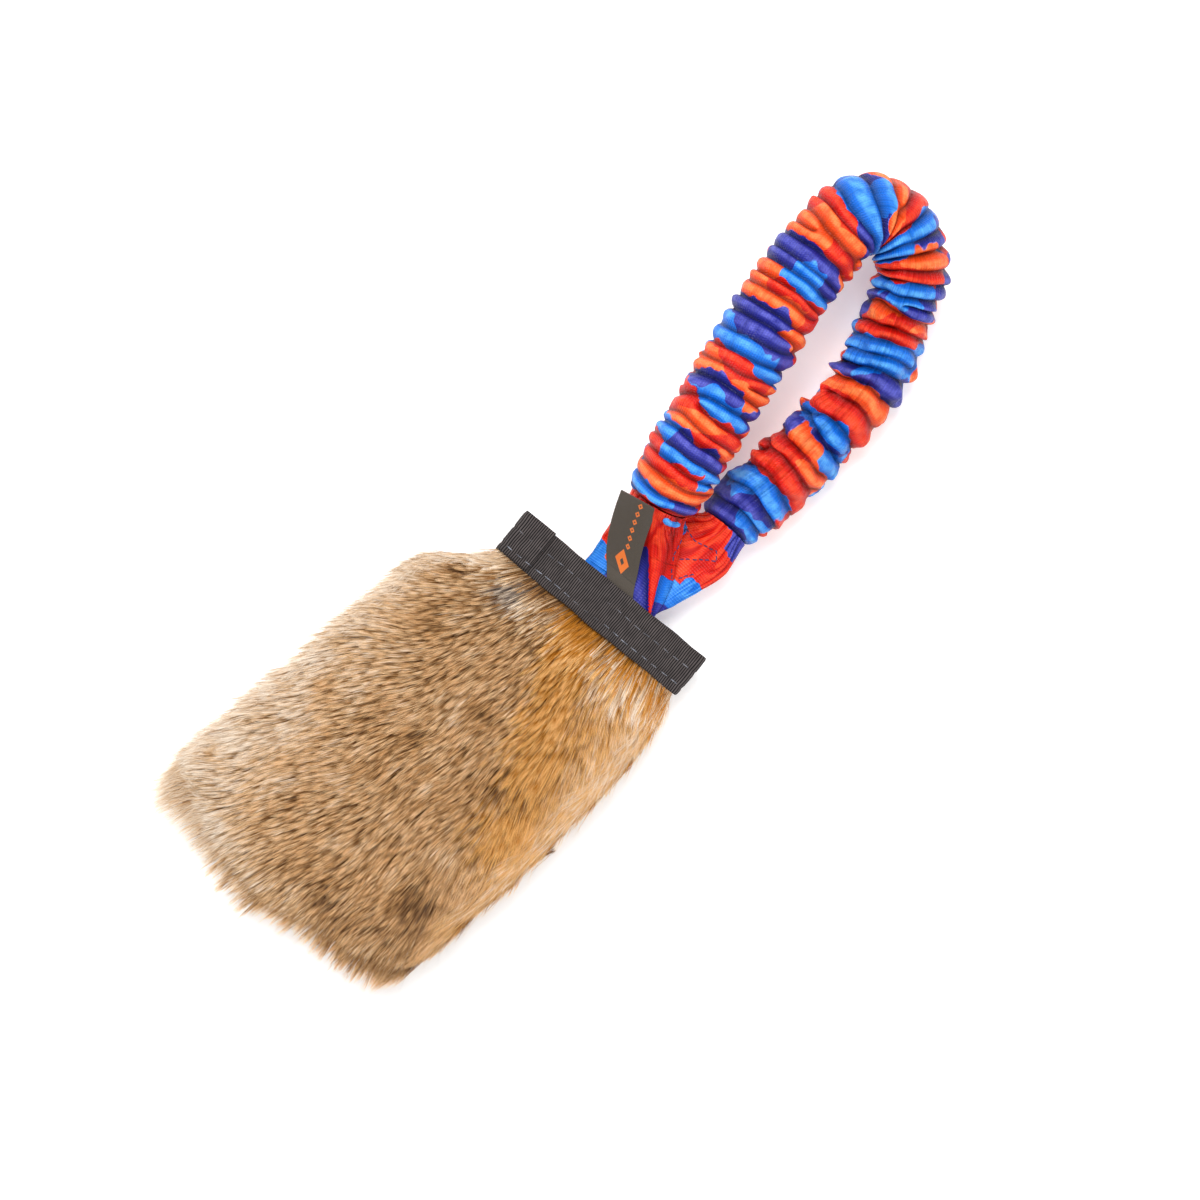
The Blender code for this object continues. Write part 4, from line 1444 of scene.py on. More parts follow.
        curve = (1 - t) ** 2 * root[:, None] + 2 * t * (1 - t) * bow[:, None]
        curve = curve + t * t * end[:, None]
        if self.side < 0:
            curve[..., 2] = np.maximum(curve[..., 2], (0.1 + 1.2 * own[4][:, None]) * MM)
        roll = (own[5] - 0.5) * 1.7
        flat, up = square_to(unit(np.gradient(curve, axis=1)), self.side * UP)
        ribbon = flat * np.cos(roll)[:, None, None] + up * np.sin(roll)[:, None, None]
        colours = self.kinds(x, y, tuft, lock, off, own[3])
        pale = 0.55 * ease(y, 78 * MM, 10 * MM) * own[2]
        pale = np.maximum(pale, 0.4 * ease(share, 0.76, 0.12) * own[2])
        return curve, ribbon, np.column_stack((colours, pale))

    def held(self, tip: Array, lock: Array, tuft: Array, own: Array, wisp: Array) -> Array:
        """Hold the tips to the pad's outline, each to its own limit, so that it stays ragged.

        Args:
            tip: where the tips would end in the plane.
            lock, tuft, own: chance values of lock, tuft and hair.
            wisp: how far a hair belongs to the wisp at the left.

        Returns:
            The tips, moved in where they would pass the outline.
        """
        across, share = self.shape.to_shares(*tip.T)
        loose = 0.11 * wisp * own[1] ** 2 + 0.06 * self.stray(own)
        spread = 0.11 * own[1] ** 0.6
        side_limit = 0.815 + 0.10 * lock[1] + 0.05 * tuft[1] + spread + 0.05 * own[0] ** 3 + loose
        side_limit -= 0.06 * (across > 0) * ease(share, 0.0, 0.25)
        side_limit -= 0.025 * (across < 0) * hump(share, 0.27, 0.12)
        foot_limit = 0.86 + 0.10 * lock[0] + 0.05 * tuft[0] + 0.07 * own[1] ** 0.7
        foot_limit += 0.03 * own[0] ** 3 + loose
        foot_limit += 0.03 * hump(across, 0.0, 0.55)
        if self.side < 0:
            side_limit, foot_limit = side_limit - 0.015, foot_limit - 0.02
        over = (np.abs(across) > side_limit) | (share > foot_limit)
        across = np.clip(across, -side_limit, side_limit)
        x, y = self.shape.to_plane(across, np.minimum(share, foot_limit))
        over &= tip[:, 1] < PAD_AXIS_Y
        return np.where(over[:, None], np.column_stack((x, y)), tip)

    @staticmethod
    def stray(own: Array) -> Array:
        """Return 1 for the few hairs that stand off their lock, by their last chance value."""
        return ease(own[5], 0.95, 0.03)

    def tip(self, x: Array, y: Array, reach: Array, turn: Array) -> Array:
        """Return where a hair from that root would end in the plane."""
        angle = self.flow(x, y) + turn
        return np.column_stack((x + reach * np.sin(angle), y - reach * np.cos(angle)))

    def raised(self, spots: Array, height: Array) -> Array:
        """Return points in space over the middle plane, on the pelt's own side."""
        return np.column_stack((spots, MID_HEIGHT + self.side * height))

    def coat(self, part: int) -> None:
        """Make one part of the coat, with the part of it by the band as a piece of its own.

        Args:
            part: number of the part.
        """
        curve, ribbon, colours = self.hairs(part)
        collar = curve[:, 0, 1] > self.collar_y
        for kind, chosen, holder in (("fur", ~collar, Body.PAD), ("collar", collar, COAT_FOLD)):
            name = f"{self.name}_{kind}_{part + 1}"
            rows = curve[chosen], ribbon[chosen], colours[chosen]
            fit(ribbons(name, *rows, self.hair_width), holder)

    def build(self) -> None:
        """Make the pelt's pieces."""
        self.hide()
        self.undercoat()
        for part in range(self.pieces):
            self.coat(part)


# How a lock's cell is mixed to a number below the size of the pool of chance values
CELL_MIX = (92821, 68917)
CHANCE_POOL = 65521
# Where along a hair its ribbon has points
HAIR_STEPS = (0.0, 0.36, 0.70, 1.0)
# The grey spot by the band and the wisp at the left: middle in x and y and sizes in millimetres
GREY_SPOT = (-28, 85, 8, 6)
WISP_SPOT = (-82, -62, 9, 9)
# Dark patches in the fur: x, y and radius in millimetres
FUR_SHADOWS = (
    (-45, 80, 9), (-42, 60, 12), (-57, 12, 9), (-7, 45, 10), (19, -34, 15), (34, -50, 10),
    (-30, 84, 7), (-76, -42, 6), (-5, -60, 12), (-20, 20, 9), (30, -80, 10),
)
# Mean tone of the fur over x in millimetres: 0 dark, 1 brown, 2 tan, 3 cream
FUR_TONES = (
    (-100, 3.2), (-86, 2.85), (-72, 2.5), (-60, 2.15), (-45, 1.65), (-26, 1.3), (0, 1.1),
    (30, 1.2), (55, 1.5),
)
# Middle of the gold stripe in x over y, in millimetres
GOLD_STRIPE = ((-30, 34), (19, 27), (46, 19), (78, 6), (90, 2))


def ribbons(name: str, curve: Array, ribbon: Array, colours: Array,
            width: float) -> bpy.types.Object:
    """Make hairs as ribbons of two quads and a closing triangle.

    Args:
        name: the piece's name.
        curve: hairs x 4 x 3, root to tip.
        ribbon: the direction across each ribbon at those points.
        colours: each hair's place on the colour map, and how far up it its root starts.
        width: the full width of a ribbon.

    Returns:
        The piece.
    """
    count = len(curve)
    half = width / 2 * np.array((0.75, 1.0, 0.8))[None, :, None]
    left = curve[:, :3] - ribbon[:, :3] * half
    right = curve[:, :3] + ribbon[:, :3] * half
    pairs = np.stack((left, right), axis=2).reshape(count, 6, 3)
    points = np.concatenate((pairs, curve[:, 3:]), axis=1).reshape(-1, 3)
    pattern = np.array((0, 1, 3, 2, 2, 3, 5, 4, 4, 5, 6))
    starts = np.array((0, 4, 8))
    first = np.arange(count)[:, None]
    corners = (first * 7 + pattern).ravel()
    faces = Faces(corners, (first * 11 + starts).ravel())
    mesh = build_mesh(name, points, faces)
    up = np.repeat(HAIR_STEPS, 2)[:-1][pattern]
    half_step = 0.0008 * np.array((-1.0, 1.0, -1.0, 1.0, -1.0, 1.0, 0.0))[pattern]
    kind, pale = colours[:, :1], colours[:, 1:]
    values = np.stack((kind + half_step, up + pale * (1.0 - up)), -1)
    for map_name in ("FurUV", "OFBake"):
        set_map(mesh, map_name, values.reshape(-1, 2))
    return link(mesh, FurFinish().make())


def thicken(piece: bpy.types.Object, thickness: float) -> None:
    """Give a sheet its thickness, half of it to either side."""
    solid = piece.modifiers.new("thickness", "SOLIDIFY")
    solid.thickness, solid.offset = thickness, 0.0


# Loop

@dataclass
class Route:
    """The loop's centre line, a natural cubic spline through named places, evenly sampled.

    The places are shares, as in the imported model: of the leg pair sideways, of the hand opening
    sideways, of the loop's length, of the leg pair upwards.
    """

    centre_x: float = 3.4 * MM
    pair: float = 31.75 * MM
    opening: float = 15.5 * MM
    neck: float = 36.9 * MM
    length_unit: float = 150 * MM
    back_radius: float = 14.75 * MM
    crown_from: float = 0.375
    crown_to: float = 0.665
    samples: int = 1200
    shares: Rows = (
        (-0.35, 0.0, 0.0, 0.54), (-0.39, -0.03, 0.058, 0.63), (-0.42, -0.175, 0.205, 0.74),
        (-0.45, -0.35, 0.378, 0.79), (-0.48, -0.53, 0.564, 0.815),
        (-0.50, -0.635, 0.731, 0.815), (-0.50, -0.61, 0.865, 0.785),
        (-0.43, -0.54, 0.957, 0.71), (-0.29, -0.33, 1.0, 0.58), (0.17, 0.06, 0.956, 0.40),
        (0.33, 0.19, 0.872, 0.24), (0.42, 0.37, 0.763, 0.10), (0.48, 0.56, 0.648, 0.025),
        (0.50, 0.60, 0.519, 0.0), (0.48, 0.52, 0.378, 0.0), (0.47, 0.40, 0.251, 0.0),
        (0.47, 0.16, 0.135, 0.01), (0.48, 0.10, 0.058, 0.03),
    )

    def __post_init__(self) -> None:
        """Work out the line, its length and its directions."""
        pair, opening, along, rise = np.array(self.shares).T
        places = np.column_stack((
            self.centre_x + pair * self.pair + opening * self.opening,
            NECK_AXIS_Y + self.neck + along * self.length_unit,
            self.back_radius + rise * self.pair,
        ))
        curve = self.spline(places)
        run = run_length(curve)
        self.length = float(run[-1])
        self.distances = np.linspace(0.0, self.length, self.samples)
        self.line = on_line(curve, run, self.distances)
        self.along = unit(np.gradient(self.line, self.distances, axis=0))

    @staticmethod
    def spline(places: Array) -> Array:
        """Return a fine polyline on the natural cubic spline through the places.

        Args:
            places: the places that it passes.

        Returns:
            Points, close to each other.
        """
        knots = run_length(places)
        steps = np.diff(knots)
        inner = np.arange(1, len(places) - 1)
        system = np.eye(len(places))
        system[inner, inner - 1] = steps[:-1]
        system[inner, inner] = 2.0 * (steps[:-1] + steps[1:])
        system[inner, inner + 1] = steps[1:]
        slopes = np.diff(places, axis=0) / steps[:, None]
        bends = np.zeros_like(places)
        bends[1:-1] = 6.0 * np.diff(slopes, axis=0)
        bends = np.linalg.solve(system, bends)
        fine = np.linspace(0.0, knots[-1], 24000)
        span = np.clip(np.searchsorted(knots, fine, side="right") - 1, 0, len(steps) - 1)
        wide = steps[span][:, None]
        right = (fine - knots[span])[:, None] / wide
        left = 1.0 - right
        bow = ((left**3 - left) * bends[span] + (right**3 - right) * bends[span + 1]) / 6.0
        return left * places[span] + right * places[span + 1] + bow * wide**2

    def frames(self, distance: Array) -> tuple[Array, Array, Array, Array]:
        """Return point, level side, up and tangent at distances along the line."""
        point = on_line(self.line, self.distances, distance)
        along = unit(on_line(self.along, self.distances, distance))
        return point, *square_to(along), along

    def parts(self, *names: str) -> list[tuple[str, Fold | Body, float, float]]:
        """Return name, holder and shares of the route of front leg, crown and back leg."""
        cuts = (0.0, self.crown_from, self.crown_to, 1.0)
        return list(zip(names, (LEG_STRETCH, Body.CROWN, LEG_STRETCH), cuts, cuts[1:]))


class Dye(Enum):
    """The knit's four colours: (warm or cool, lighter or darker)."""

    RED = (1.0, -1.0)
    ORANGE = (1.0, 1.0)
    BLUE = (-1.0, 1.0)
    NAVY = (-1.0, -1.0)


Blotch = tuple[float, float, float, Dye]
R, O, B, N = Dye.RED, Dye.ORANGE, Dye.BLUE, Dye.NAVY
# The gathers along the loop: millimetres along the route at a valley, and its depth there
VALLEYS = (
    (-4, 1.5), (2, 1.7), (7, 2.3), (13, 1.7), (18.5, 2.4), (24.5, 0.9), (30.5, 2.7), (35.5, 0.6),
    (42.5, 2.7), (49.5, 2.2), (56.5, 2.7), (62, 0.5), (68, 3.0), (75.5, 1.0), (84, 2.8),
    (90.5, 1.9), (98.5, 1.3), (103, 2.5), (109.5, 1.6), (114, 1.2), (121, 2.6), (127, 1.4),
    (134.5, 1.6), (138.5, 2.0), (145.5, 2.5), (153.5, 2.3), (159, 1.6), (165.5, 2.2),
    (172, 2.4), (177, 4.2), (183.5, 2.4), (188, 2.6), (195, 2.5), (199, 2.7), (207.5, 2.3),
    (213.5, 2.7), (221, 0.8), (228.5, 3.4), (237, 3.3), (245.5, 1.6), (257.5, 3.8),
    (266.5, 3.3), (277.5, 3.6), (284, 0.8), (291, 2.4), (301, 1.3), (311, 1.0), (319, 0.8),
    (326, 1.0),
)
# The print on the loop's seen side: millimetres along the route and share across it, from the
# outer edge of the loop at -1 to the inner edge at 1, at the middle of a blotch of one dye
LOOP_BLOTCHES = (
    (0, -0.5, R), (1, 0.4, R), (4.5, -0.8, B), (4, -0.1, B), (5, 0.6, N), (9.5, -0.7, O),
    (9.5, 0.0, O), (9.5, 0.8, O), (16, -0.5, R), (16, 0.1, R), (18.5, 0.85, B), (22, -0.95, R),
    (21, -0.2, B), (25, 0.3, N), (27, -0.3, N), (27.5, -0.8, B), (31, 1.0, O), (36, -0.2, O),
    (33.5, 0.4, R), (40, -0.5, R), (38.5, 0.8, R), (44.5, -0.95, R), (46, -0.3, B), (46, 0.4, B),
    (49, 1.0, N), (53, -0.6, N), (53, 0.0, N), (54, 0.75, O), (60, -0.6, O), (61, 0.1, R),
    (61, 0.8, R), (65.5, -0.4, R), (67, 0.8, B), (70.5, -0.1, B), (71, 1.0, N), (76, -0.9, B),
    (79, -0.3, N), (79, 0.4, N), (84.5, 0.9, O), (87, -0.6, N), (87, 0.1, N), (94, -0.5, O),
    (94, 0.3, O), (95, 0.95, R), (99.5, -0.2, R), (99, 0.6, R), (104, -0.95, O), (106, -0.2, B),
    (105, 0.6, B), (111, 0.1, B), (112, 0.9, N), (112, -0.8, N), (117, -0.3, N), (117, 0.4, N),
    (116.5, 1.0, O), (124, -0.3, O), (123, 0.5, R), (130.5, -0.6, O), (130.5, 0.4, O),
    (134.5, 0.1, R), (135, -0.9, R), (137.5, 0.8, N), (142, -0.3, B), (142, 0.5, B),
    (148, -0.8, N), (149, -0.1, B), (150, 0.6, N), (152.5, -0.95, O), (156, -0.3, O),
    (157, 0.4, O), (161, -0.8, R), (162, -0.1, R), (161, 0.7, R), (168.5, -0.5, B), (169, 0.2, B),
    (174, -0.8, N), (175, 0.6, B), (179, -0.3, O), (181, 0.5, R), (185, -0.6, R), (186, 0.3, R),
    (191.5, 0.6, B), (191.5, -0.2, B), (189, -1.0, N), (197, 0.9, N), (197, -0.6, N),
    (202, 0.4, O), (204, -0.1, R), (205, -0.8, O), (210, 0.7, R), (211, 0.0, R), (210, -0.8, R),
    (217, 0.1, B), (223, 0.5, B), (224, -0.2, B), (218, -0.9, B), (233, 0.8, N), (231, 0.3, B),
    (234, -0.2, N), (234, -0.8, N), (241, 0.6, O), (241, -0.1, O), (243, -0.9, O), (248, 0.4, R),
    (250, -0.3, R), (254, 0.2, R), (256, -0.7, R), (263, 0.8, B), (262, 0.1, B), (259, -0.3, B),
    (270, 0.95, N), (268, -0.3, N), (271, -0.8, B), (272, 0.3, O), (279, 0.5, R), (280, -0.6, O),
    (285, 0.2, R), (288, -0.6, R), (292, 0.0, R), (297, -0.4, B), (304, 0.5, B), (299, -1.0, R),
    (308, -0.1, N), (314, 0.5, N), (314, -0.5, B), (320, 0.0, N),
)


def camouflage(place: Array, spots: Array, blotches: list[Blotch], seed: int,
               period: float = 1e9) -> Array:
    """Return the print's two values: each place takes the dye of the nearest blotch.

    Distances are swayed by noise, so that the borders are uneven. The first value is how much
    nearer a warm blotch is than a cool one, the second a lighter than a darker one of those.

    Args:
        place: two millimetre values for each place.
        spots: the places in space, where the noise is read.
        blotches: two millimetre values of a blotch's middle, its size and its dye.
        seed: seed of the noise.
        period: after how many millimetres the second value closes on itself.

    Returns:
        Two values for each place.
    """
    broad = [Ripple(seed + n, 16 * MM).at(spots) for n in (1, 2)]
    fine = [Ripple(seed + n, 5 * MM).at(spots) for n in (3, 4)]
    first, second = (place[..., n] + 1.3 * broad[n] + 0.45 * fine[n] for n in (0, 1))
    nearest = {dye: np.full(first.shape, 9.0) for dye in Dye}
    for x, y, size, dye in blotches:
        beside = (second - y + period / 2) % period - period / 2
        nearest[dye] = np.minimum(nearest[dye], np.hypot(first - x, beside) / size)
    warm = np.minimum(nearest[B], nearest[N]) - np.minimum(nearest[R], nearest[O])
    light = np.where(warm > 0, nearest[R] - nearest[O], nearest[N] - nearest[B])
    return np.stack((warm, light), -1)


@dataclass
class Sleeve:
    """The gathered knit sleeve round the bungee: folds packed tight in front, loose behind.

    Around the line a point lies at r = crest - depth (1 - f(p)) where f = |sin(pi p)|^e has
    broad crests and sharp valleys and p is the fold number, a whole number in each valley. The
    valleys swing round the sleeve, and fork where pairs of whirls are laid in it: each adds the
    angle of exp(z - z1) - 1 less that of exp(z - z2) - 1, z being distance over radius plus i
    times the angle, which is one more fold between the two angles.
    """

    route: Route
    front_radius: float = 17.2 * MM
    back_radius: float = 15.6 * MM
    print_radius: float = 15 * MM
    row_step: float = 0.45 * MM
    columns: int = 144
    forks: int = 14
    fork_size: float = 13 * MM
    cloth_round: float = 96.6
    blotch: float = 8.0
    squeeze: float = 0.42
    painted_crest_light: float = 0.22

    def radius(self, share: Array) -> Array:
        """Radius over the folds at a share of the route: a blunt start, a drawn-in end.

        Args:
            share: share of the route.

        Returns:
            The radius at the places.
        """
        swell = 1.0 - 0.07 * (1.0 - ease(share, 0.0, 0.05))
        swell = swell - 0.16 * (1.0 - ease(share, 1.0, -0.06))
        thin = ease(share, self.route.crown_from, self.route.crown_to - self.route.crown_from)
        return swell * (self.front_radius + (self.back_radius - self.front_radius) * thin)

    def phase(self, distance: Array, theta: Array) -> tuple[Array, Array, Array]:
        """Return the fold number, the valley depth and the pitch at places on the sleeve.

        Args:
            distance: places along the route.
            theta: angles round it.

        Returns:
            The three values for each place.
        """
        loose = ease(distance / self.route.length, 0.5, 0.25)
        spots = on_cylinder(theta, distance, self.print_radius)
        sway = (0.9 + 0.7 * loose) * Ripple(41, 46 * MM).at(spots)
        sway = sway + (0.35 + 0.25 * loose) * Ripple(42, 15 * MM).at(spots)
        place = distance / MM + sway + 0.8 * np.sin(theta)
        valleys = np.array(VALLEYS)
        count = np.arange(len(valleys), dtype=float)
        number = np.interp(place, valleys[:, 0], count)
        middles = (valleys[1:, 0] + valleys[:-1, 0]) / 2
        pitch = np.interp(place, middles, np.diff(valleys[:, 0])) * MM
        depth = np.interp(place, valleys[:, 0], valleys[:, 1]) * MM
        chance = np.random.default_rng(47)
        z = distance / self.fork_size + 1j * theta
        for number_of in range(self.forks):
            centre = (number_of + chance.uniform(0.1, 0.9)) / self.forks * self.route.length
            angle = chance.uniform(0.0, TAU)
            width = chance.uniform(0.8, 2.2)
            shift = chance.uniform(-0.3, 0.3)
            first = centre / self.fork_size + 1j * angle
            second = centre / self.fork_size + shift + 1j * (angle + width)
            one, two = (np.angle(np.exp(z - middle) - 1.0) for middle in (first, second))
            number = number + (one - two) / TAU
        return number, depth, pitch

    def surface(self, distance: Array, theta: Array) -> tuple[Array, Array, Array]:
        """Work out the sleeve at grid places.

        The cloth's place moves little over a crest, which shows, and fast through a valley,
        which hides most of the cloth: distance - 0.7 pitch sin(2 pi (number - 1/2)) / 2 pi.

        Args:
            distance: places along the route.
            theta: angles round it.

        Returns:
            The points, the fold profile and the place on the cloth.
        """
        share = distance / self.route.length
        loose = ease(share, 0.5, 0.25)
        spots = on_cylinder(theta, distance, self.print_radius)
        number, depth, pitch = self.phase(distance, theta)
        cloth = distance - 0.7 * pitch * np.sin(TAU * (number - 0.5)) / TAU
        each = on_cylinder(theta, cloth * 1.6, self.print_radius)
        sharp = 0.72 - 0.022 * np.clip(pitch / MM - 5.0, 0.0, 9.0)
        profile = np.abs(np.sin(math.pi * number)) ** sharp
        uneven = 1.1 + (0.34 + 0.3 * loose) * Ripple(51, 15 * MM).at(spots)
        depth = depth * np.clip(uneven, 0.3, 1.7)
        bulge = (0.6 + 1.1 * loose) * MM * Ripple(55, 13 * MM).at(each) * profile
        lumps = (0.40 + 0.95 * loose) * MM * Ripple(52, 30 * MM).at(spots)
        crease = np.abs(np.sin(2.5 * math.pi * number + 2.0 * Ripple(56, 24 * MM).at(spots)))
        crease = (0.16 + 0.14 * loose) * MM * (crease**0.7 - 0.6) * profile
        creases = 0.07 * MM * Ripple(53, 3 * MM).at(spots) + crease
        from_end = np.minimum(distance, self.route.length - distance)
        ends = ease(from_end, 0.0, 7 * MM)
        lip = np.sqrt(np.clip(1.0 - (1.0 - from_end / (3 * MM)).clip(0.0, 1.0) ** 2, 0.0, 1.0))
        radius = self.radius(share) - depth * (1.0 - profile) + (lumps + creases + bulge) * ends
        radius = radius * (0.72 + 0.28 * lip)
        lean = (0.7 + 0.8 * loose) * MM * Ripple(54, 40 * MM).at(spots)
        along_shift = (0.9 * MM + lean) * (profile - 0.5) * ends
        point, side, up, along = self.route.frames(distance[:, 0])
        out = around_line(theta, side, up)
        points = point[:, None] + radius[..., None] * out + along_shift[..., None] * along[:, None]
        points[..., 2] = np.maximum(points[..., 2], 0.15 * MM)
        return points, profile, cloth

    def build(self) -> None:
        """Make the three parts of the sleeve on one grid, cut where the crown starts and ends."""
        rows = int(self.route.length / self.row_step)
        s = np.linspace(0.0, self.route.length, rows + 1)
        distance, theta = np.meshgrid(s, closed_angles(self.columns), indexing="ij")
        points, profile, cloth = self.surface(distance, theta)
        used = run_length(points)
        maps = {"Knit": knit_map(used, self.cloth_round),
                "Camouflage": self.print_at(cloth, theta),
                "Fold": np.stack((profile, profile), -1)}
        # painted highlight and shade: the print leans to its lighter dye on the crests and its
        # darker dye in the valleys
        maps["Camouflage"][..., 1] += self.painted_crest_light * (profile - 0.55)
        nodes = {"sleeve_front": "sleeve_front_leg", "sleeve_top": "sleeve_crown",
                 "sleeve_back": "sleeve_back_leg"}
        for name, holder, start, end in self.route.parts(*nodes):
            first, last = round(rows * start), round(rows * end)
            here = slice(first, last + 1)
            part = {key: values[here] for key, values in maps.items()}
            piece = Grid(name, points[here], True, part, flip=True).make(CamouflageKnit().make())
            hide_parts(nodes[name])
            fit(piece, holder)

    def print_at(self, cloth: Array, theta: Array) -> Array:
        """Return the two values of the print, read on the cloth.

        The blotches on the seen side are the list above; others follow by chance underneath.

        Args:
            cloth: places along the cloth.
            theta: angles round it.

        Returns:
            Two values for each place.
        """
        around = self.print_radius / MM * self.squeeze
        blotches = [(at, around * math.acos(across), self.blotch, dye)
                    for at, across, dye in LOOP_BLOTCHES]
        chance = np.random.default_rng(61)
        for at in np.arange(2.0, self.route.length / MM, 6.5):
            for angle in (1.2, 1.5, 1.8):
                turn = (angle + chance.uniform(-0.1, 0.1)) * math.pi
                blotches.append((at, around * turn, self.blotch, list(Dye)[chance.integers(4)]))
        place = np.stack((cloth / MM, around * theta), -1)
        spots = on_cylinder(theta, cloth, self.print_radius)
        return camouflage(place, spots, blotches, 63, around * TAU)


@dataclass
class Bungee:
    """The braided elastic cord inside the sleeve."""

    route: Route
    radius: float = 5 * MM
    braid_step: float = 1.2 * MM
    columns: int = 24

    def build(self) -> None:
        """Make the cord's two legs and its crown as tubes along the route."""
        length = self.route.length
        nodes = {"bungee_front": "cord_front_leg", "bungee_crown": "cord_crown",
                 "bungee_legs": "cord_back_leg"}
        angles = closed_angles(self.columns)
        turn = np.linspace(0.0, 12 * TAU, self.columns + 1)
        for name, holder, start, end in self.route.parts(*nodes):
            s = np.linspace(start * length, end * length, 90)
            point, side, up, _ = self.route.frames(s)
            run = s[:, None] / self.braid_step
            braid = np.sin(run + 4 * angles) * np.sin(run - 4 * angles)
            radius = self.radius * (1.0 + 0.02 * braid)
            points = point[:, None] + radius[..., None] * around_line(angles, side, up)
            maps = {"Knit": np.stack(np.broadcast_arrays(turn[None], s[:, None] / MM * 3.0), -1)}
            piece = Grid(name, points, True, maps, flip=True).make(BraidedBungee().make())
            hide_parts(nodes[name])
            fit(piece, holder)


# Strap

@dataclass
class Tail:
    """One end of the sleeve, pressed flat and sewn into the band, drawn round toward its leg.

    A ring of the loft is a superellipse whose half width, half height and exponent ease from
    the sewn flat to the leg's round; gathers run down it from the leg and fade to the band.
    """

    name: str
    side: float
    route: Route
    mouth: float
    centres: Rows
    half_widths: Rows
    blotches: tuple[Blotch, ...]
    pleats: int
    seed: int
    start_x: float = 2 * MM
    thickness: float = 1.6 * MM
    gap: float = 0.3 * MM
    cloth_round: float = 92.0
    rows: int = 120
    columns: int = 220

    def line(self, w: Array, share: Array) -> Array:
        """Return the loft's middle line: a cubic from the seam to the leg, eased sideways.

        Args:
            w: share of the way from the seam to the leg.
            share: the same, and below 0 inside the band.

        Returns:
            The line, n x 3.
        """
        at_leg = 0.0 if self.side > 0 else self.route.length
        point, _, _, along = (value[0] for value in self.route.frames(np.array((at_leg,))))
        start = np.array((self.start_x, NECK_AXIS_Y, MID_HEIGHT))
        reach = float(np.linalg.norm(point - start))
        leave, arrive = np.array((0.0, reach, 0.0)), along * reach * self.side
        cube, square = (w**3)[:, None], (w**2)[:, None]
        line = (
            (2 * cube - 3 * square + 1) * start + (cube - 2 * square + w[:, None]) * leave
            + (3 * square - 2 * cube) * point + (cube - square) * arrive
        )
        line[:, 0] += table(self.centres, w) * MM
        line[:, 1] += np.minimum(share, 0.0) * 40 * MM
        line[:, 2] += self.side * (self.gap + self.thickness) / 2 * (1.0 - smooth_step(w))
        return line

    def build(self, nodes: tuple[str, ...]) -> bpy.types.Object:
        """Make the tail.

        Args:
            nodes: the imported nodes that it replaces.

        Returns:
            The piece.
        """
        share = np.concatenate((np.linspace(-0.4, 0.0, 16)[:-1], np.linspace(0.0, 1.0, self.rows)))
        w = np.clip(share, 0.0, 1.0)
        line = self.line(w, share)
        tangent = unit(np.gradient(line, axis=0) + 1e-9)
        tangent[share < 0] = (0.0, 1.0, 0.0)
        side, up = square_to(tangent)
        half_width = table(self.half_widths, w) * MM
        half_width = half_width + (self.mouth - half_width) * ease(w, 0.8, 0.2)
        half_height = self.thickness / 2 + (self.mouth - self.thickness / 2) * w**2.3
        power = (2.0 / (5.0 - 3.0 * smooth_step(w)))[:, None]
        angle = closed_angles(self.columns)
        across = half_width[:, None] * signed_power(np.cos(angle), power)
        rise = half_height[:, None] * signed_power(np.sin(angle), power)
        grid_w, grid_angle = np.meshgrid(w, angle, indexing="ij")
        bend = Ripple(self.seed, 0.5).over(grid_w, np.cos(grid_angle), np.sin(grid_angle))
        ripple = np.abs(np.cos(self.pleats * grid_angle / 2 + 1.6 * bend)) ** 0.8 - 0.6
        grown = ease(w, 0.0, 0.95)[:, None] ** 1.3
        cross_fold = np.sin(9.0 * grid_w + 1.5 * bend + 0.8 * np.cos(grid_angle))
        cross_fold = np.abs(cross_fold) ** 0.7 - 0.6
        gather = (1 * MM * ripple + 0.55 * MM * cross_fold) * grown
        norm = (across / half_width[:, None] ** 2, rise / half_height[:, None] ** 2)
        norm = unit(np.stack(norm, -1))
        across, rise = across + gather * norm[..., 0], rise + gather * norm[..., 1]
        points = line[:, None] + across[..., None] * side[:, None] + rise[..., None] * up[:, None]
        seen = (np.sin(angle) > 0.05) * (self.side > 0)
        pleat = self.pleat(points) * seen
        points[..., 2] += 1.9 * MM * pleat
        points[..., 2] = np.maximum(points[..., 2], 0.2 * MM)
        used = run_length(points)
        # painted light: the Fold value falls in the gathers' hollows and beside the pleat, where
        # the knit's colour is shaded, and rises on the gathers' ridges toward its painted
        # highlight
        beside = self.pleat(points, 1.9) * seen - pleat
        painted_fold_light = np.clip(0.86 + 0.5 * gather / MM - 0.55 * beside, 0.0, 1.0)
        maps = {"Knit": knit_map(used, self.cloth_round),
                "Fold": np.stack((painted_fold_light, painted_fold_light), -1),
                "Camouflage": self.print_at(points, pleat)}
        grid = Grid(self.name, points, True, maps, flip=self.side > 0)
        piece = grid.make(CamouflageKnit().make())
        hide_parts(*nodes)
        return fit(piece, STRAP_FOLD)

    @staticmethod
    def pleat(points: Array, widened: float = 1.0) -> Array:
        """Return 0 to 1 for the pleat that tapers over the front tail from the leg to the band.

        Args:
            points: places on the tail.
            widened: how much wider than the pleat to measure.

        Returns:
            The value at the places.
        """
        start, end = np.array((-3.0, 143.5)) * MM, np.array((19.6, 107.6)) * MM
        way = unit(end - start)
        offset = points[..., :2] - start
        span = float(np.linalg.norm(end - start))
        share = (offset @ way) / span
        beside = offset @ np.array((-way[1], way[0]))
        half = (0.6 + 4.6 * np.clip(1.0 - share, 0.0, 1.2)) * MM * widened
        return np.exp(-np.abs(beside / half) ** 4) * ease(share, 1.04, -0.12)

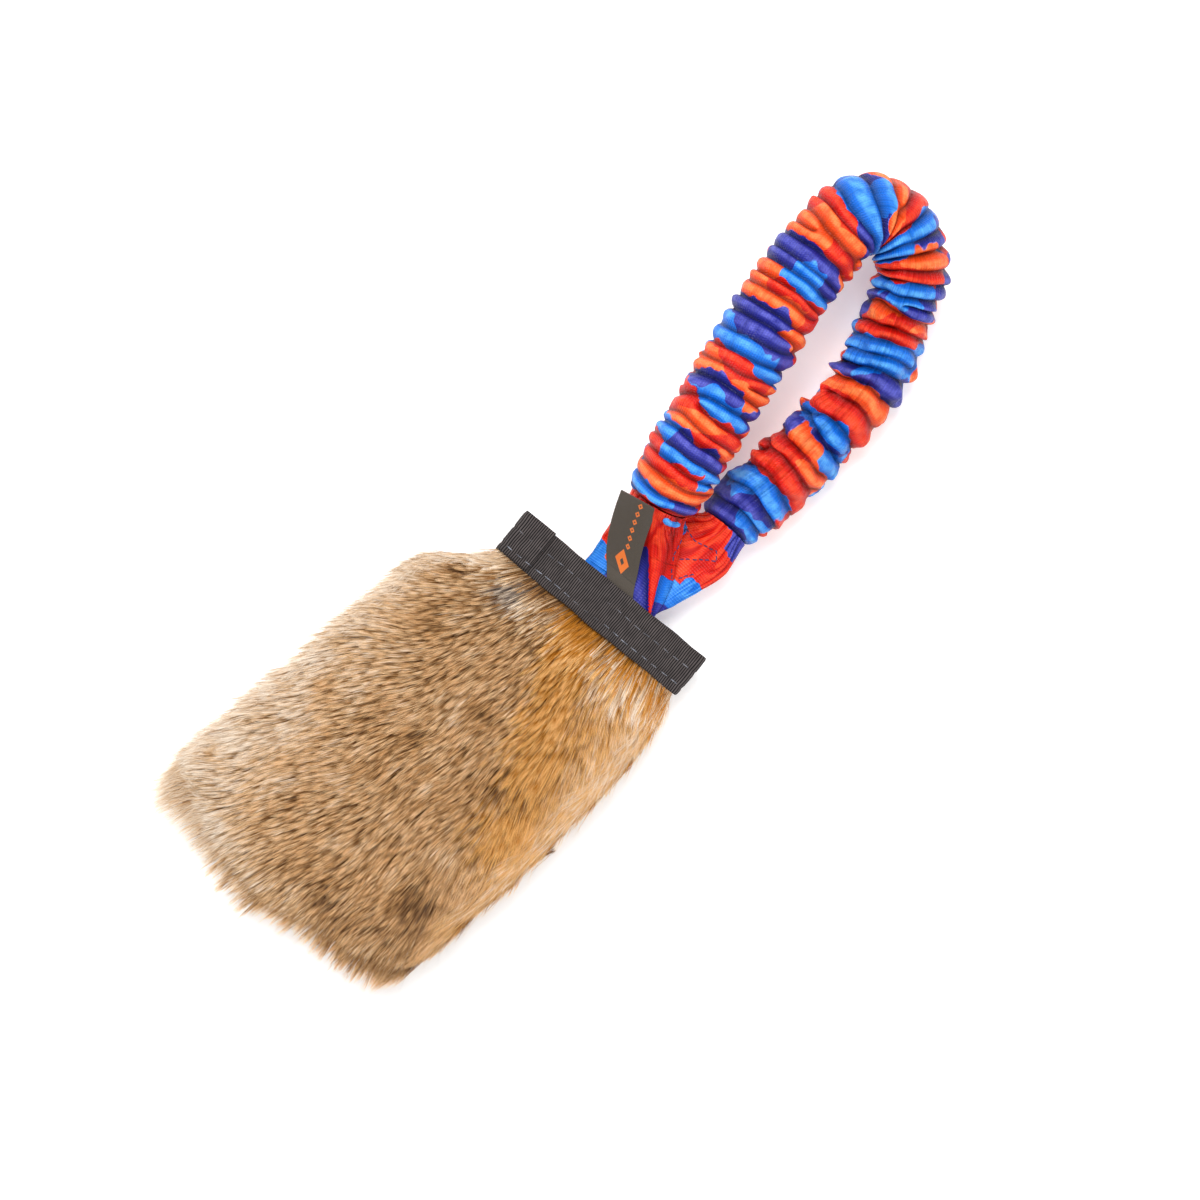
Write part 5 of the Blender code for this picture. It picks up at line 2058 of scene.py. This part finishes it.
    def print_at(self, points: Array, pleat: Array) -> Array:
        """Return the print's two values from the blotches listed; the pleat is red."""
        values = camouflage(points[..., :2] / MM, points, list(self.blotches), self.seed)
        red = np.clip((pleat - 0.4) * 4.0, 0.0, 1.0)[..., None]
        return values + (np.array((0.6, -0.6)) - values) * red


@dataclass
class Strap:
    """The two tails, the triangle of stitches that joins them and the small tuck beside it."""

    route: Route
    seams: tuple[Rows, ...] = (
        ((7.4, 147.2), (9.6, 140.0), (11.0, 134.0), (16.2, 126.5)),
        ((7.4, 147.2), (13.6, 145.1), (23.3, 147.5), (25.9, 144.3)),
        ((25.9, 144.3), (11.0, 134.0)), ((16.2, 126.5), (23.0, 134.7)),
    )
    tuck: Rows = (
        (-2.0, 144.0), (-0.4, 143.5), (1.3, 143.7), (3.0, 144.6), (4.6, 146.3),
    )
    tuck_radius: float = 1.6 * MM
    thread_radius: float = 0.26 * MM
    stitch_length: float = 2.1 * MM
    stitch_pitch: float = 2.6 * MM
    stitch_drop: float = 1.5 * MM

    def build(self) -> None:
        """Make the strap's pieces."""
        front = Tail(
            "strap_front", 1.0, self.route, 12.5 * MM,
            centres=((0.0, 0.0), (0.4, -1.0), (0.8, -0.6), (1.0, 0.0)),
            half_widths=((0.0, 18.75), (0.3, 17.6), (0.6, 15.0), (0.85, 13.0), (1.0, 12.5)),
            blotches=(
                (-13, 114, 6, B), (-9.5, 118, 3, O), (0, 113, 5, N), (7, 116, 6, N),
                (12, 109, 5, N), (1, 127, 6, N), (4, 133, 7, R), (-8, 130, 9, R),
                (-12, 124, 4, R), (16, 120, 5, B), (18, 111, 4, N), (-2, 142, 9, R),
                (10, 132, 7, R), (2, 152, 9, R), (-14, 145, 7, R),
            ),
            pleats=15, seed=71,
        )
        back = Tail(
            "strap_back", -1.0, self.route, 10.6 * MM,
            centres=((0.0, 0.0), (0.3, 1.0), (0.6, 0.2), (1.0, 0.0)),
            half_widths=((0.0, 18.75), (0.3, 19.0), (0.55, 17.6), (0.8, 15.2), (1.0, 13.0)),
            blotches=(
                (20, 111, 6, N), (24, 121, 7, B), (17, 122, 7, B), (26, 129, 5, B),
                (14, 134, 9, R), (26, 138, 8, R), (29, 145, 6, R), (16, 145, 8, R),
                (10, 154, 6, R), (20, 154, 5, R), (31, 152, 5, N), (28, 157, 7, N),
                (24, 163, 5, B), (33, 160, 5, B), (-10, 120, 12, R), (0, 140, 10, B),
            ),
            pleats=13, seed=81,
        )
        pieces = [front.build(("front_tail", "front_tail_end")),
                  back.build(("back_tail", "back_tail_end"))]
        tops = [BVHTree.FromObject(p, bpy.context.evaluated_depsgraph_get()) for p in pieces]
        self.stitches(tops)
        self.small_tuck(tops)

    def stitches(self, tops: list[BVHTree]) -> None:
        """Lay the stitches on the cloth, but none that would bridge the step between the tails.

        Args:
            tops: the surfaces of the tails.
        """
        chance = np.random.default_rng(91)
        lines = []
        for seam in self.seams:
            corners = np.array(seam) * MM
            run = run_length(corners)
            for at in np.arange(0.2 * MM, run[-1] - self.stitch_length * 0.6, self.stitch_pitch):
                spots = on_line(corners, run, at + np.linspace(0.0, self.stitch_length, 7))
                spots = spots + chance.normal(0.0, 0.16 * MM, 2)
                line = np.array([self.drop(tops, spot) for spot in spots])
                if np.ptp(line[:, 2]) < self.stitch_drop:
                    lines.append(line)
        lines = np.array(lines)
        bow = 1.0 - np.linspace(-1.0, 1.0, 7) ** 4
        lines[..., 2] += (0.26 * bow - 0.1) * MM
        thread = Thread("navy_thread", srgb(60, 64, 130), srgb(26, 28, 80)).make()
        piece = capped_tubes("triangle_stitches", lines, self.thread_radius, thread)
        fit(piece, Body.NECK)

    def small_tuck(self, tops: list[BVHTree]) -> None:
        """Make the small tuck of cloth under the leg's first gather, a tapered bent roll.

        Args:
            tops: the surfaces of the tails.
        """
        places = np.array(self.tuck) * MM
        share = np.linspace(0.0, 1.0, 40)
        spots = on_line(places, np.linspace(0.0, 1.0, len(places)), share)
        heights = np.array([self.drop(tops, spot)[2] for spot in spots])
        heights = np.convolve(np.pad(heights, 6, mode="edge"), np.ones(13) / 13, mode="valid")
        line = np.column_stack((spots, heights + 0.3 * MM))
        side, up = square_to(unit(np.gradient(line, axis=0)))
        angle = closed_angles(24)
        radius = self.tuck_radius * round_ends(2.0 * share - 1.0, 5) * (1.0 - 0.3 * share)
        dent = 1.0 + 0.12 * np.cos(3 * angle[None] + 5.0 * share[:, None])
        points = line[:, None] + (radius[:, None] * dent)[..., None] * around_line(angle, side, up)
        ones = np.ones_like(dent)
        knit = np.stack(np.meshgrid(share * 12.0, angle * 1.5, indexing="ij"), -1)
        # painted highlight: a Fold value near a crest gives the whole tuck the knit's crest tint
        maps = {"Knit": knit, "Fold": np.stack((ones, ones), -1) * 0.95,
                "Camouflage": np.stack((-ones, ones), -1)}
        piece = Grid("small_tuck", points, True, maps, flip=True).make(CamouflageKnit().make())
        fit(piece, Body.NECK)

    @staticmethod
    def drop(tops: list[BVHTree], spot: Array) -> tuple[float, float, float]:
        """Return the highest point of the cloth at a place.

        Args:
            tops: the surfaces of the tails.
            spot: x and y.

        Returns:
            The point.
        """
        high = Vector((float(spot[0]), float(spot[1]), 0.1))
        hits = [top.ray_cast(high, Vector((0.0, 0.0, -1.0)))[0] for top in tops]
        height = max((hit.z for hit in hits if hit), default=MID_HEIGHT)
        return float(spot[0]), float(spot[1]), height


# Label

@dataclass
class Label:
    """The woven label that leans to the left and lifts off the strap."""

    width: float = 16.6 * MM
    root_width: float = 14.2 * MM
    length: float = 28 * MM
    root_x: float = 1.9 * MM
    axis_y: float = 115 * MM
    axis_z: float = 20.45 * MM
    lean: float = 0.51
    bow: float = 2 * MM
    tilt: float = 0.17
    rise: float = 25 * MM
    curl: float = 1.3
    seam_y: float = 105.4 * MM
    thickness: float = 0.45 * MM

    def grid(self, name: str, shares: Array) -> Grid:
        """Return the cloth between two shares of its free length; below 0 it lies in the seam.

        Its middle leans left along a line from the band's edge and bows further by a half sine.

        Args:
            name: the piece's name.
            shares: places along the label, over its free length.

        Returns:
            The cloth.
        """
        across = np.linspace(-1.0, 1.0, 40)
        share, beside = np.meshgrid(shares, across, indexing="ij")
        free = np.maximum(share, 0.0)
        y = self.axis_y + self.length * share
        past = y - BAND_UPPER_Y
        wider = (self.width - self.root_width) * ease(past, 0.0, 11 * MM)
        half = (self.root_width + wider) / 2
        x = self.root_x - self.lean * past + beside * half
        x = x - self.bow * np.sin(math.pi * np.clip(past / (33 * MM), 0.0, 1.0))
        y = y + self.tilt * beside * half * free
        z = self.axis_z + self.rise * free**self.curl
        z = z - 1.4 * MM * free * (beside**2) + 0.6 * MM * free * np.sin(beside * 2.2 + 1.0)
        z = z + 0.4 * MM * np.sin(free * 7.0) * free
        points = np.stack((x, y, z), -1)
        weave = np.stack((beside * self.width / 2 / MM, share * self.length / MM), -1)
        return Grid(name, points, maps={"Weave": weave}, flip=True)

    def finished(self, grid: Grid, holder: Fold) -> bpy.types.Object:
        """Make a part of the label and give it its thickness."""
        piece = grid.make(WovenLabel().make())
        thicken(piece, self.thickness)
        return fit(piece, holder)

    def build(self) -> None:
        """Make the sewn root and the free label."""
        seam = (self.seam_y - self.axis_y) / self.length
        root_fold = Fold(Body.BAND, Body.NECK, BAND_UPPER_Y, self.axis_y - 1 * MM)
        free_fold = Fold(Body.NECK, Body.LABEL, self.axis_y, self.axis_y + 4 * MM)
        root = self.finished(self.grid("label_seam", np.linspace(seam, 0.0, 14)), root_fold)
        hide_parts("label_root")
        free = self.finished(self.grid("woven_label", np.linspace(0.0, 1.0, 60)), free_fold)
        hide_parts("label")


def main() -> None:
    """Build the studio and the toy, piece by piece."""
    logging.basicConfig(level=logging.INFO, format="%(message)s")
    Studio().build()
    band = Band()
    band.webbing()
    band.stitches()
    shape = PadShape()
    Pelt("front", 1.0, shape, pieces=4, seed=1).build()
    Pelt("back", -1.0, shape, pieces=3, seed=2).build()
    route = Route()
    sleeve = Sleeve(route)
    Bungee(route).build()
    sleeve.build()
    Strap(route).build()
    Label().build()


if __name__ == "__main__":
    main()
